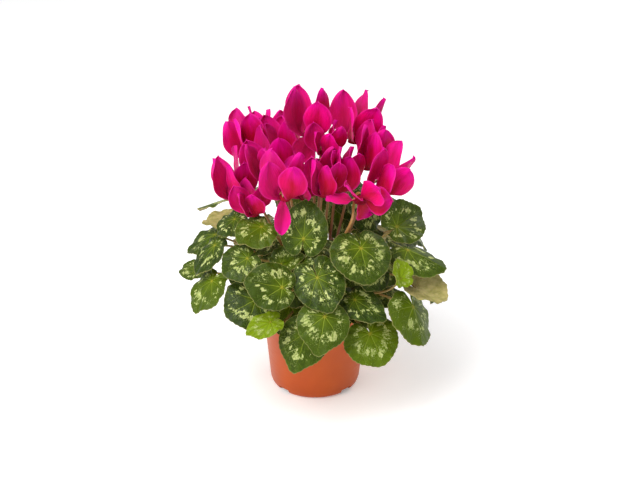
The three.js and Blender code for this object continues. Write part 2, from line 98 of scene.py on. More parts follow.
camera_data = bpy.data.cameras.new("camera")
camera_data.sensor_width = SENSOR_WIDTH
camera_data.lens = FOCAL_PIXELS * SENSOR_WIDTH / FRAME_WIDTH
camera_data.shift_x = (FRAME_WIDTH / 2 - CENTRE_PIXEL[0]) / FRAME_WIDTH
camera_data.shift_y = (CENTRE_PIXEL[1] - FRAME_HEIGHT / 2) / FRAME_WIDTH
camera = link(bpy.data.objects.new("camera", camera_data))
camera_back = Vector((0, -math.cos(CAMERA_ELEVATION), math.sin(CAMERA_ELEVATION)))
camera.location = CAMERA_TARGET + CAMERA_DISTANCE * camera_back
camera.rotation_euler = (-camera_back).to_track_quat("-Z", "Y").to_euler()
scene.camera = camera


def softbox(name, place, size, power):
    data = bpy.data.lights.new(name, "AREA")
    data.size = size
    data.energy = power
    lamp = link(bpy.data.objects.new(name, data))
    lamp.location = place
    lamp.rotation_euler = (CAMERA_TARGET - lamp.location).to_track_quat("-Z", "Y").to_euler()


softbox("key_light", place=Vector((-0.9, -1.0, 1.7)), size=1.5, power=47)
softbox("rim_light", place=Vector((0.9, 0.9, 1.3)), size=0.8, power=9)

floor_mesh = bpy.data.meshes.new("floor")
floor_sides = ((-1, -1), (1, -1), (1, 1), (-1, 1))
floor_corners = [(x * FLOOR_REACH, y * FLOOR_REACH, 0) for x, y in floor_sides]
floor_mesh.from_pydata(floor_corners, [], [(0, 1, 2, 3)])
floor = link(bpy.data.objects.new("floor", floor_mesh))
print("camera at", [round(value, 3) for value in camera.location])

# %% [markdown]
# ## Shader maths as plain expressions
# Each finish is a web of small nodes. Written by hand it is long to read, so `Number` wraps one
# socket and lets Python's own signs add the Math nodes. `Finish` holds one material. Its `node`
# method adds any other node: first the node's settings, then the values or links of its sockets.
# `layers` lays one colour after another over a first one, as a painter glazes.

# %% One way to add any node


def add_node(tree, kind, settings=(), sockets=()):
    """Adds a node to a tree: first its settings, then the values or links of its sockets."""
    node = tree.nodes.new(kind)
    for name, value in dict(settings).items():
        setattr(node, name, value)
    for name, value in dict(sockets).items():
        if isinstance(value, bpy.types.NodeSocket):
            tree.links.new(value, node.inputs[name])
        else:
            node.inputs[name].default_value = value
    return node


def srgb(red, green, blue):
    """A colour as a picture editor shows it, 0 to 255, in the linear form that materials take."""
    return tuple((channel / 255) ** 2.2 for channel in (red, green, blue))


print("mid grey in linear form:", round(srgb(128, 128, 128)[0], 3))

# %% A number in a material


class Number:
    def __init__(self, finish, socket):
        self.finish = finish
        self.socket = socket

    def calc(self, operation, *values):
        return self.finish.node("Math", {"operation": operation}, dict(enumerate(values)))

    def __add__(self, other):
        return self.calc("ADD", self, other)

    def __radd__(self, other):
        return self.calc("ADD", other, self)

    def __sub__(self, other):
        return self.calc("SUBTRACT", self, other)

    def __rsub__(self, other):
        return self.calc("SUBTRACT", other, self)

    def __mul__(self, other):
        return self.calc("MULTIPLY", self, other)

    def __rmul__(self, other):
        return self.calc("MULTIPLY", other, self)

    def __truediv__(self, other):
        return self.calc("DIVIDE", self, other)

    def __pow__(self, power):
        return self.calc("POWER", self, power)

    def __abs__(self):
        return self.calc("ABSOLUTE", self)

    def rounded(self):
        return self.calc("ROUND", self)


print("signs that add Math nodes: + - * / ** and abs()")

# %% A material in the making


class Finish:
    def __init__(self, name):
        self.material = bpy.data.materials.new(name)
        self.material.use_nodes = True
        self.tree = self.material.node_tree
        self.tree.nodes.clear()

    def node(self, kind, settings=(), sockets=(), out=0):
        plain = {name: getattr(value, "socket", value) for name, value in dict(sockets).items()}
        return Number(self, add_node(self.tree, "ShaderNode" + kind, settings, plain).outputs[out])

    def mark(self, name):
        """A number that the mesh itself carries at each point."""
        return self.node("Attribute", {"attribute_name": name}, out=2)

    def place(self):
        return self.node("TexCoord", out="Object")

    def cloud(self, vector, scale, detail=2.0):
        """Soft noise about zero."""
        return self.node("TexNoise", {}, {"Vector": vector, "Scale": scale, "Detail": detail}) - 0.5

    def ease(self, value, start, end, low=0.0, high=1.0):
        """Rises smoothly from low to high while the value goes from start to end."""
        sockets = {0: value, 1: start, 2: end, 3: low, 4: high}
        return self.node("MapRange", {"interpolation_type": "SMOOTHSTEP"}, sockets)

    def blend(self, factor, first, second):
        """Mixes two colours."""
        first, second = [(*c, 1) if isinstance(c, tuple) else c for c in (first, second)]
        settings = {"data_type": "RGBA", "clamp_factor": True}
        return self.node("Mix", settings, {0: factor, 6: first, 7: second}, out=2)

    def layers(self, colour, *layers):
        """Lays colours over the first one, each as strongly as its factor says."""
        for factor, tint in layers:
            colour = self.blend(factor, colour, tint)
        return colour

    def relief(self, height, distance, strength=1.0):
        return self.node("Bump", {}, {"Height": height, "Distance": distance, "Strength": strength})

    def close(self, sockets):
        shader = self.node("BsdfPrincipled", {}, sockets)
        output = self.tree.nodes.new("ShaderNodeOutputMaterial")
        self.tree.links.new(shader.socket, output.inputs["Surface"])
        return self.material


made = [name for name in vars(Finish) if not name.startswith("_")]
print("a finish can make:", ", ".join(made))

# %% [markdown]
# The studio's floor gets the plainest finish: white and matt, with a faint glow of its own that
# keeps the shadow on it light.

# %% Floor finish
floor_finish = Finish("white_floor")
floor_white = floor_finish.close({
    "Base Color": (0.96, 0.96, 0.96, 1), "Roughness": 0.9,
    "Emission Color": (1, 1, 1, 1), "Emission Strength": 0.2})
floor_mesh.materials.append(floor_white)
print("floor is", floor_white.name)

# %% [markdown]
# ## The marbled leaf
# A cyclamen leaf is dark green with a ragged silver ring rather more than half of the way out. Main
# veins run from the junction, bend toward the tip, fork and fade. The ring is broken up by patches,
# by strokes that run outwards and by the veins, and it shifts a little from one field between veins
# to the next. Thin pale hooks lie about it. The zone inside is a warmer green, the zone outside is
# greyer, and the margin is a thin pale line. The blade's own marks carry the pattern: `blade_u` and
# `blade_v` are measured along and across the midrib, and `reach` runs from 0 at the junction to 1
# at the margin, so the pattern follows every fold. Young leaves are a yellower green.

# %% Leaf finish
VEIN_SPACING = math.radians(47)


def leaf_material():
    leaf = Finish("marbled_leaf")
    u, v, reach = leaf.mark("blade_u"), leaf.mark("blade_v"), leaf.mark("reach")
    tone, young, under = leaf.mark("tone"), leaf.mark("young"), leaf.mark("underside")
    spot = leaf.node("CombineXYZ", {}, {"X": u, "Y": v, "Z": tone * 9})
    radius = (u * u + v * v) ** 0.5
    angle = leaf.node("Math", {"operation": "ARCTAN2"}, {0: v, 1: u})
    wobble = leaf.cloud(spot, 4.0)
    lumps = leaf.cloud(spot, 6.0, 2.0)
    tatters = leaf.cloud(spot, 26.0, 2.0)
    # main veins: rays from the junction that bend toward the tip and fade outwards
    turn = (angle * (1 + 0.2 * radius) + wobble * 0.4 * radius) / VEIN_SPACING
    sector = abs(turn - turn.rounded())
    off_vein = sector * radius * VEIN_SPACING
    vein = leaf.ease(off_vein / (0.02 - 0.012 * reach), 0.3, 1.1, 1.0, 0.0)
    vein = vein * leaf.ease(reach + wobble * 0.5, 0.1, 0.95, 0.75, 0.2)
    # side veins: forks that leave the main ones at a slant
    fork = radius * 4.6 - sector * 3.2 + wobble * 2.2
    forks = leaf.ease(abs(fork - fork.rounded()), 0.02, 0.1, 1.0, 0.0) * leaf.ease(reach, 0.25, 0.5)
    # a ragged silver ring, broken up by patches, by strokes that run outwards and by the veins
    field = turn.calc("FLOOR", turn)
    lot = leaf.node("TexWhiteNoise", {"noise_dimensions": "1D"}, {"W": field + tone * 57}, out=1)
    first, second = [leaf.node("SeparateColor", {}, {0: lot}, out=part) for part in range(2)]
    rays = leaf.node("CombineXYZ", {}, {"X": angle * 2.6, "Y": radius * 1.5, "Z": tone * 23})
    strokes = leaf.cloud(rays, 3.4, 2.5)
    ring = (reach - 0.53 - 0.16 * first + 0.3 * wobble) / 0.17
    patchy = lumps * 2.3 + strokes * 1.7 + tatters * 0.55 + second * 0.26
    spread = patchy - 0.4 * ring * ring + leaf.ease(sector, 0.03, 0.2, -0.2, 0.0)
    silver = leaf.ease(spread, 0.09, 0.19)
    # pale hooks round the ring, and specks near the margin
    curl = leaf.ease(abs(leaf.cloud(spot, 11.0, 1.0)), 0.006, 0.026, 1.0, 0.0)
    hooks = curl * leaf.ease(abs(ring), 0.5, 1.7, 1.0, 0.0) * leaf.ease(second, 0.25, 0.45)
    dots = leaf.node("TexVoronoi", {}, {"Vector": spot, "Scale": 15.0, "Randomness": 1.0})
    speckle = leaf.ease(dots, 0.1, 0.2, 1.0, 0.0) * leaf.ease(lumps, 0.02, 0.12)
    speckle = speckle * leaf.ease(reach, 0.55, 0.7)
    # colours from the junction outwards
    outer = leaf.ease(reach + wobble * 0.4, 0.4, 0.75)
    bright = leaf.ease(tatters + strokes, -0.2, 0.25)
    pale = leaf.blend(bright, srgb(128, 146, 64), srgb(200, 206, 134))
    face = leaf.layers(
        srgb(74, 94, 2),
        (outer, srgb(60, 78, 14)),
        (leaf.ease(tone, 0.0, 1.0) * 0.6, srgb(34, 52, 8)),
        (leaf.ease(tatters + lumps, -0.22, 0.22, 0.75, 0.0), srgb(30, 44, 4)),
        (leaf.ease(radius, 0.4, 0.0) * 0.45, srgb(104, 124, 10)),
        (young, srgb(122, 146, 4)),
        (forks * 0.2, srgb(104, 130, 40)),
        (silver * (0.92 - young * 0.4), pale),
        (hooks * 0.7, srgb(166, 180, 104)),
        (vein, srgb(138, 156, 50)),
        (speckle * 0.6, srgb(150, 166, 92)),
        (leaf.ease(reach, 0.972, 0.996) * 0.55, srgb(150, 146, 90)),
        (leaf.ease(radius, 0.09, 0.0) * 0.6, srgb(164, 146, 40)),
    )
    # the underside is pale olive, flushed with buff along the veins
    below = leaf.layers(
        srgb(138, 134, 70),
        (leaf.ease(lumps, -0.3, 0.3), srgb(182, 168, 108)),
        (vein * 0.8, srgb(196, 176, 116)),
    )
    height = lumps * 0.5 + tatters * 0.2 - vein * 1.1 - forks * 0.4
    return leaf.close({
        "Base Color": leaf.blend(under, face, below),
        "Roughness": leaf.ease(tatters + silver * 0.2, -0.3, 0.4, 0.4, 0.56),
        "Specular IOR Level": 0.18,
        "Subsurface Weight": 0.06,
        "Subsurface Radius": (0.35, 0.6, 0.06),
        "Subsurface Scale": 0.002,
        "Normal": leaf.relief(height, 0.001, 0.9),
    })


leaf_finish = leaf_material()
print("leaf finish:", len(leaf_finish.node_tree.nodes), "nodes")

# %% [markdown]
# ## The petal
# The petals are a strong magenta that turns crimson toward the throat and purple toward the tip, and
# painted shade darkens them further at the foot, where they meet the throat.
# Light comes through them, so the thin margin glows pink, and fine veins run lengthwise. `along`
# runs from the throat to the tip and `across` from one margin to the other. These marks carry the
# pattern, so that the veins keep to the petal however it is bent.

# %% Petal finish


def petal_material():
    petal = Finish("velvety_petal")
    along, across = petal.mark("along"), petal.mark("across")
    tone, under = petal.mark("tone"), petal.mark("underside")
    fan = petal.node("CombineXYZ", {}, {"X": across * 7, "Y": along * 1.4, "Z": tone * 9})
    veins = petal.cloud(fan, 2.6, 3.0)
    broad = petal.node("CombineXYZ", {}, {"X": across * 1.2, "Y": along * 1.5, "Z": tone * 5})
    clouds = petal.cloud(broad, 1.6)
    heart = petal.ease(abs(across) + along * 0.5 + clouds * 0.9, 0.15, 0.95, 1.0, 0.0)
    # painted shade: the petal is darker toward the throat, where the petals meet
    deep = petal.ease(along + clouds * 0.5, 0.0, 0.5, 0.75, 0.0)
    tip = petal.ease(along + clouds * 0.5, 0.55, 1.05)
    # painted light: the thin margin glows a lighter pink, as light comes through it
    margin = petal.ease(abs(across) + clouds * 0.1, 0.8, 1.0)
    colour = petal.layers(
        srgb(174, 0, 52),
        (petal.ease(tone, 0.0, 1.0), srgb(236, 0, 116)),
        (heart * 0.85, srgb(164, 0, 32)),
        # painted shade toward the throat
        (deep, srgb(136, 0, 32)),
        (tip * 0.75, srgb(224, 0, 154)),
        (petal.ease(veins, 0.0, 0.22) * 0.4, srgb(146, 0, 48)),
        # painted glow along the thin margin
        (margin * 0.6, srgb(234, 44, 150)),
        (under * 0.3, srgb(206, 40, 128)),
        # darkest at the petal's foot: a dark ring round the mouth, deepened with painted shade
        (petal.ease(along, 0.0, 0.1, 0.85, 0.0), srgb(96, 0, 30)),
    )
    return petal.close({
        "Base Color": colour,
        "Roughness": petal.ease(veins, -0.3, 0.3, 0.5, 0.62),
        "Specular IOR Level": 0.1,
        "Sheen Weight": 0.08,
        "Sheen Tint": (*srgb(255, 120, 200), 1),
        "Subsurface Weight": 0.12,
        "Subsurface Radius": (1.0, 0.05, 0.35),
        "Subsurface Scale": 0.003,
        "Normal": petal.relief(veins * 0.8 + clouds * 0.8, 0.0008, 0.7),
    })


petal_finish = petal_material()
print("petal finish:", len(petal_finish.node_tree.nodes), "nodes")

# %% [markdown]
# ## Stalks, tuber, compost and pot
# Stalks are smooth and fleshy, reddish brown at the foot and paler and more olive near the top, with
# faint streaks. The tuber is corky. The compost is dark and crumbly. The pot is moulded plastic: an
# even terracotta orange with a fine grain, slightly scuffed and darker near the foot. The stalks'
# colour reads `along`, which runs from foot to top. No other pattern here has to follow a bend, so
# the rest reads the place on the object.

# %% Stalk, tuber, compost and pot finishes


def stalk_material(name, foot, top):
    stalk = Finish(name)
    along = stalk.mark("along")
    streaks = stalk.cloud(stalk.place(), 260.0)
    flush = stalk.cloud(stalk.place(), 45.0)
    colour = stalk.layers(
        foot,
        (stalk.ease(along + flush * 0.5, 0.15, 0.95), top),
        (stalk.ease(streaks, -0.1, 0.25) * 0.3, srgb(120, 60, 40)),
    )
    return stalk.close({
        "Base Color": colour,
        "Roughness": stalk.ease(streaks, -0.3, 0.3, 0.34, 0.5),
        "Subsurface Weight": 0.1,
        "Subsurface Radius": (0.6, 0.4, 0.2),
        "Subsurface Scale": 0.002,
        "Normal": stalk.relief(streaks, 0.0003, 0.5),
    })


def crumbly_material(name, dark, light, scale, depth):
    crumbly = Finish(name)
    coarse = crumbly.cloud(crumbly.place(), scale, 5.0)
    fine = crumbly.cloud(crumbly.place(), scale * 4.3, 3.0)
    mixed = coarse + fine * 0.6
    return crumbly.close({
        "Base Color": crumbly.blend(crumbly.ease(mixed, -0.15, 0.3), dark, light),
        "Roughness": crumbly.ease(mixed, -0.3, 0.3, 0.85, 0.98),
        "Specular IOR Level": 0.2,
        "Normal": crumbly.relief(mixed, depth, 1.0),
    })


def pot_material():
    pot = Finish("moulded_terracotta_plastic")
    where = pot.place()
    height = pot.node("SeparateXYZ", {}, {"Vector": where}, out="Z")
    grain = pot.cloud(where, 900.0, 1.0)
    mottle = pot.cloud(where, 22.0, 3.0)
    scuffs = pot.node("Mapping", {}, {"Vector": where, "Scale": (60, 60, 700)})
    scuff = pot.cloud(scuffs, 1.0, 4.0)
    # the pot is darker towards its foot
    foot_darkening = pot.ease(height + mottle * 0.02, 0.022, 0.0)
    colour = pot.layers(
        srgb(176, 70, 6),
        (pot.ease(mottle, -0.3, 0.3), srgb(190, 82, 12)),
        (pot.ease(scuff, 0.1, 0.32) * 0.15, srgb(206, 120, 60)),
        (foot_darkening * 0.25, srgb(150, 64, 18)),
    )
    return pot.close({
        "Base Color": colour,
        "Roughness": pot.ease(scuff + mottle, -0.4, 0.4, 0.34, 0.5),
        "Specular IOR Level": 0.35,
        "Subsurface Weight": 0.06,
        "Subsurface Radius": (0.8, 0.4, 0.2),
        "Subsurface Scale": 0.003,
        "Normal": pot.relief(grain * 0.6 + scuff * 0.5, 0.00012, 0.6),
    })


petiole_finish = stalk_material("leaf_stalk", srgb(142, 84, 58), srgb(158, 138, 74))
flower_stalk_finish = stalk_material("flower_stalk", srgb(132, 74, 54), srgb(164, 120, 66))
tuber_finish = crumbly_material(
    "corky_tuber", srgb(52, 34, 24), srgb(104, 78, 56), scale=90.0, depth=0.0008)
compost_finish = crumbly_material(
    "peat_compost", srgb(22, 15, 11), srgb(70, 48, 34), scale=160.0, depth=0.0015)
pot_finish = pot_material()
print("finishes:", len(bpy.data.materials))

# %% [markdown]
# ## Shapes as arrays
# Every piece is gathered as plain arrays in millimetres: its points, its faces, the marks that its
# finish reads, and which finish each face takes. A thin sheet such as a blade or a petal is given as
# one middle surface. `thicken` lays a copy on either side of it and closes the rim between them, so
# that the sheet has a real edge and a real underside.

# %% A shape, and a sheet given its thickness
MARKS = ("blade_u", "blade_v", "reach", "tone", "young", "underside", "along", "across")


class Shape:
    def __init__(self, points, faces, finish, marks=None):
        self.points = np.asarray(points, float).reshape(-1, 3)
        self.faces = faces
        self.finish = finish
        self.marks = marks or {}


def point_normals(points, faces):
    """The way that each point faces, from the diagonals of the faces about it."""
    normals = np.zeros_like(points)
    for size in (3, 4):
        chosen = np.array([face for face in faces if len(face) == size], int).reshape(-1, size)
        if len(chosen):
            corners = points[chosen]
            ways = np.cross(corners[:, 2] - corners[:, 0], corners[:, -1] - corners[:, 1])
            for column in range(size):
                np.add.at(normals, chosen[:, column], ways)
    return normals / np.linalg.norm(normals, axis=1, keepdims=True)


def sheet_faces(rows, columns, start=0):
    """The four-sided faces of a sheet whose points run row by row."""
    corners = [
        start + columns * row + column for row in range(rows - 1) for column in range(columns - 1)]
    return [(c, c + columns, c + columns + 1, c + 1) for c in corners]


def thicken(middle, faces, thickness, finish, marks):
    """A sheet given its thickness, half of it on either side of the middle surface."""
    half = point_normals(middle, faces) * thickness / 2
    count = len(middle)
    edges = {(a, b) for face in faces for a, b in zip(face, face[1:] + face[:1])}
    rim = [(b, a, count + a, count + b) for a, b in sorted(edges) if (b, a) not in edges]
    below = [tuple(count + corner for corner in reversed(face)) for face in faces]
    doubled = {name: np.concatenate([values, values]) for name, values in marks.items()}
    doubled["underside"] = np.repeat([0.0, 1.0], count)
    return Shape(np.vstack([middle + half, middle - half]), faces + below + rim, finish, doubled)


print("marks that finishes may read:", ", ".join(MARKS))

# %% Shapes joined to one piece


def finish_piece(name, shapes, nodes, crease=40):
    """Joins the shapes into one mesh in metres, and stands it in for its CAD nodes."""
    points, faces, finishes, chosen, start = [], [], [], [], 0
    for shape in shapes:
        points.append(shape.points)
        faces += [tuple(start + corner for corner in face) for face in shape.faces]
        if shape.finish not in finishes:
            finishes.append(shape.finish)
        chosen += [finishes.index(shape.finish)] * len(shape.faces)
        start += len(shape.points)
    mesh = bpy.data.meshes.new(name)
    mesh.from_pydata((np.vstack(points) * MM).tolist(), [], faces)
    for finish in finishes:
        mesh.materials.append(finish)
    mesh.polygons.foreach_set("material_index", chosen)
    mesh.polygons.foreach_set("use_smooth", [True] * len(faces))
    for mark in MARKS:
        if any(mark in shape.marks for shape in shapes):
            values = [np.broadcast_to(shape.marks.get(mark, 0.0), len(shape.points)) for shape in shapes]
            attribute = mesh.attributes.new(mark, "FLOAT", "POINT")
            attribute.data.foreach_set("value", np.concatenate(values).astype(np.float32))
    mesh.validate()
    mesh.set_sharp_from_angle(angle=math.radians(crease))
    piece = link(bpy.data.objects.new(name, mesh))
    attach(piece, "root")
    if nodes:
        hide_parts(*nodes)
    return piece


print("pieces are joined in millimetres and shown in metres, at", MM)

# %% Repeatable draws and turns


def vary(seed):
    """A repeatable draw between -1 and 1 for each seed, the same as the solid model's."""
    mixed = math.sin(seed * 12.9898) * 43758.5453
    return 2 * (mixed - math.floor(mixed)) - 1


def direction(vector):
    return vector / np.linalg.norm(vector)


def turned_about(vector, axis, degrees):
    return np.array(Quaternion(axis, math.radians(degrees)) @ Vector(vector))


print("the first draws:", [round(vary(seed), 2) for seed in range(4)])

# %% [markdown]
# ## Stalks swept by Geometry Nodes
# Every stalk is a round stem along a path, so one node tree makes them all. It turns a chain of
# points into a curve, tapers the radius from foot to top, remembers how far along it is, and sweeps
# a circle along it. The finished stalk is read back as a plain mesh, and joined to its leaf or to
# the other flower stalks.

# %% Begin a node tree, and read its result back


def geometry_tree(name, inputs):
    """A node tree with a geometry input and output, and the named inputs in between."""
    tree = bpy.data.node_groups.new(name, "GeometryNodeTree")
    tree.interface.new_socket("Geometry", in_out="INPUT", socket_type="NodeSocketGeometry")
    for label, kind in inputs.items():
        tree.interface.new_socket(label, in_out="INPUT", socket_type="NodeSocket" + kind)
    tree.interface.new_socket("Geometry", in_out="OUTPUT", socket_type="NodeSocketGeometry")
    return tree


def run_tree(mesh, tree, values):
    """The mesh that the tree makes of the given mesh, as a plain mesh."""
    carrier = link(bpy.data.objects.new("carrier", mesh))
    modifier = carrier.modifiers.new("grow", "NODES")
    modifier.node_group = tree
    for item in tree.interface.items_tree:
        if item.in_out == "INPUT" and item.name in values:
            modifier[item.identifier] = values[item.name]
    evaluated = carrier.evaluated_get(bpy.context.evaluated_depsgraph_get())
    made = bpy.data.meshes.new_from_object(evaluated)
    bpy.data.objects.remove(carrier)
    return made


print("tree helpers:", geometry_tree.__name__, "and", run_tree.__name__)

# %% The stalk tree
STALK_SIDES = 12
stalk_inputs = {"Foot radius": "Float", "Top radius": "Float", "Sides": "Int", "Finish": "Material"}
stalk_tree = geometry_tree("stalk along a path", stalk_inputs)
given = stalk_tree.nodes.new("NodeGroupInput").outputs
path = add_node(stalk_tree, "GeometryNodeMeshToCurve", {}, {"Mesh": given["Geometry"]})
share = add_node(stalk_tree, "GeometryNodeSplineParameter").outputs["Factor"]
marked = add_node(
    stalk_tree, "GeometryNodeStoreNamedAttribute", {"data_type": "FLOAT", "domain": "POINT"},
    {"Geometry": path.outputs[0], "Name": "along", "Value": share})
taper_ends = {"Value": share, "To Min": given["Foot radius"], "To Max": given["Top radius"]}
taper = add_node(stalk_tree, "ShaderNodeMapRange", {}, taper_ends)
sized = add_node(
    stalk_tree, "GeometryNodeSetCurveRadius", {},
    {"Curve": marked.outputs[0], "Radius": taper.outputs[0]})
ring = add_node(
    stalk_tree, "GeometryNodeCurvePrimitiveCircle", {},
    {"Resolution": given["Sides"], "Radius": 1.0})
swept = add_node(
    stalk_tree, "GeometryNodeCurveToMesh", {},
    {"Curve": sized.outputs[0], "Profile Curve": ring.outputs[0], "Scale": taper.outputs[0],
     "Fill Caps": True})
real = add_node(stalk_tree, "GeometryNodeRealizeInstances", {}, {"Geometry": swept.outputs[0]})
dressed = add_node(
    stalk_tree, "GeometryNodeSetMaterial", {},
    {"Geometry": real.outputs[0], "Material": given["Finish"]})
stalk_tree.links.new(dressed.outputs[0], stalk_tree.nodes.new("NodeGroupOutput").inputs[0])
print("stalk tree:", len(stalk_tree.nodes), "nodes, inputs", ", ".join(stalk_inputs))

# %% A stalk as a shape


def shape_of(mesh, finish):
    """A mesh read back as arrays, in the unit that it was made in."""
    points = np.zeros(len(mesh.vertices) * 3)
    mesh.vertices.foreach_get("co", points)
    marks = {}
    if "along" in mesh.attributes:
        along = np.zeros(len(mesh.vertices))
        mesh.attributes["along"].data.foreach_get("value", along)
        marks["along"] = along
    faces = [tuple(polygon.vertices) for polygon in mesh.polygons]
    return Shape(points, faces, finish, marks)


def stalk_shape(points, foot_radius, top_radius, finish):
    chain = bpy.data.meshes.new("path")
    chain.from_pydata([tuple(p) for p in points], [(i, i + 1) for i in range(len(points) - 1)], [])
    values = {
        "Foot radius": foot_radius, "Top radius": top_radius, "Sides": STALK_SIDES,
        "Finish": finish}
    return shape_of(run_tree(chain, stalk_tree, values), finish)


print("stalks are swept with", STALK_SIDES, "sides")

# %% [markdown]
# ## The pot
# The pot is one turned shape: a tapered wall, a collar under the rim, and a stepped foot. A rounded
# profile is spun about the pot's axis, with every corner eased as moulding eases it. Stacked
# cylinders would leave seams, while one profile keeps the wall in one skin. Wide slots and small
# nicks are then cut through the foot with a Boolean.

# %% Turned shapes


def eased(profile, radius, steps=3):
    """The profile with each inner corner replaced by a short curve."""
    points = [np.array(p, float) for p in profile]
    smooth = [points[0]]
    for before, corner, after in zip(points, points[1:], points[2:]):
        back, ahead = before - corner, after - corner
        reach = min(radius, 0.4 * np.linalg.norm(back), 0.4 * np.linalg.norm(ahead))
        start, end = corner + reach * direction(back), corner + reach * direction(ahead)
        for step in range(steps + 1):
            t = step / steps
            smooth.append((1 - t) ** 2 * start + 2 * t * (1 - t) * corner + t * t * end)
    return smooth + [points[-1]]


def spun(profile, sides, finish):
    """A closed solid: the profile, from axis to axis, turned about Z."""
    inner = profile[1:-1]
    points = [(0, 0, profile[0][1])]
    for radius, height in inner:
        for side in range(sides):
            angle = 2 * math.pi * side / sides
            points.append((radius * math.cos(angle), radius * math.sin(angle), height))
    points.append((0, 0, profile[-1][1]))
    faces = []
    for side in range(sides):
        after = (side + 1) % sides
        faces.append((0, 1 + after, 1 + side))
        for row in range(len(inner) - 1):
            low, high = 1 + row * sides, 1 + (row + 1) * sides
            faces.append((low + side, low + after, high + after, high + side))
        last = 1 + (len(inner) - 1) * sides
        faces.append((last + side, last + after, len(points) - 1))
    return Shape(points, faces, finish)


def box_shape(size, centre, turn):
    """A box of the given size, moved out along -Y and then turned about Z."""
    corners = []
    for x, y, z in np.ndindex(2, 2, 2):
        local = np.array(size) * (np.array([x, y, z]) - 0.5) + centre
        corners.append(turned_about(local, (0, 0, 1), turn))
    sides = [(0, 1, 3, 2), (4, 6, 7, 5), (0, 4, 5, 1), (2, 3, 7, 6), (0, 2, 6, 4), (1, 5, 7, 3)]
    return Shape(corners, sides, None)


disc = spun([(0, 0), (1, 0), (1, 1), (0, 1)], 12, None)
print("a turned disc of 12 sides has", len(disc.faces), "faces")

# %% The pot
GAP = 0.3
POT_HEIGHT = 104
RIM_RADIUS = 60
COLLAR_FOOT = POT_HEIGHT - 13
WALL = 1.3
WALL_TOP_RADIUS = 54.6
WALL_FOOT_RADIUS = 47.6
FOOT_OUTER_RADIUS = 43
FOOT_INNER_RADIUS = 38.5
FLOOR_UNDERSIDE = 2.5
FLOOR_TOP = 4.2
BOSS_RADIUS = 6
SLOT_SIZE = (14, 18, 5.5)
NICK_SIZE = (2.5, 18, 2.2)
CUT_RADIUS = 43
POT_SIDES = 144

pot_profile = [
    (0, 0), (BOSS_RADIUS, 0), (BOSS_RADIUS + 1, FLOOR_UNDERSIDE),
    (FOOT_INNER_RADIUS, FLOOR_UNDERSIDE), (FOOT_INNER_RADIUS, 0), (FOOT_OUTER_RADIUS, 0),
    (46.4, 2.2), (WALL_FOOT_RADIUS, 6.5), (WALL_TOP_RADIUS, COLLAR_FOOT - 3),
    (RIM_RADIUS - 1.2, COLLAR_FOOT), (RIM_RADIUS, COLLAR_FOOT + 1.6), (RIM_RADIUS, POT_HEIGHT - 1),
    (RIM_RADIUS - 0.8, POT_HEIGHT), (RIM_RADIUS - WALL - 0.6, POT_HEIGHT),
    (RIM_RADIUS - WALL - 1, COLLAR_FOOT + 2), (WALL_TOP_RADIUS - WALL, COLLAR_FOOT - 1.6),
    (WALL_FOOT_RADIUS - WALL, 7.4), (44.4, 4.8), (42.6, FLOOR_TOP), (0, FLOOR_TOP),
]


def plain_mesh(name, shape):
    mesh = bpy.data.meshes.new(name)
    mesh.from_pydata(shape.points.tolist(), [], shape.faces)
    return mesh


def cut_pot():
    blank = plain_mesh("pot_blank", spun(eased(pot_profile, 0.9), POT_SIDES, None))
    body = link(bpy.data.objects.new("pot_blank", blank))
    for quarter in range(4):
        for size, turn in ((SLOT_SIZE, 45 + 90 * quarter), (NICK_SIZE, 90 * quarter)):
            deep = (size[0], size[1], size[2] + 1)
            cutter_shape = box_shape(deep, np.array([0, -CUT_RADIUS, (size[2] - 1) / 2]), turn)
            cutter = link(bpy.data.objects.new("cutter", plain_mesh("cutter", cutter_shape)))
            cut = body.modifiers.new("cut", "BOOLEAN")
            cut.operation = "DIFFERENCE"
            cut.object = cutter
    made = bpy.data.meshes.new_from_object(body.evaluated_get(bpy.context.evaluated_depsgraph_get()))
    for leftover in [o for o in scene.objects if o.name.startswith(("cutter", "pot_blank"))]:
        bpy.data.objects.remove(leftover)
    return shape_of(made, pot_finish)


pot = finish_piece("pot", [cut_pot()], ["pot"], crease=35)
print("pot:", len(pot.data.polygons), "faces")

# %% [markdown]
# ## Compost and tuber
# The compost fills the pot to just below the collar and is humped a little round the tuber. Its
# surface is a spun profile whose points are lifted by a few waves and a fine noise. Geometry Nodes
# then scatter crumbs over it, since they are one small ball many times over, each squashed and
# turned in its own way. The tuber is a flattened ball with a corky, uneven skin.

# %% Compost block
SOIL_TOP = 88
SOIL_EDGE = 84
TUBER_CENTRE = 86
TUBER_RADIUS = 31
TUBER_HALF_HEIGHT = 16
SOIL_SIDES = 120


def soil_height(x, y):
    mound = 1.6 * math.sin(x * 0.31 + 1.2) * math.cos(y * 0.27 + 0.4)
    grit = 0.9 * noise.noise(Vector((x, y, 0)) * 0.35) + 0.6 * noise.noise(Vector((x, y, 7)) * 0.9)
    return mound + grit


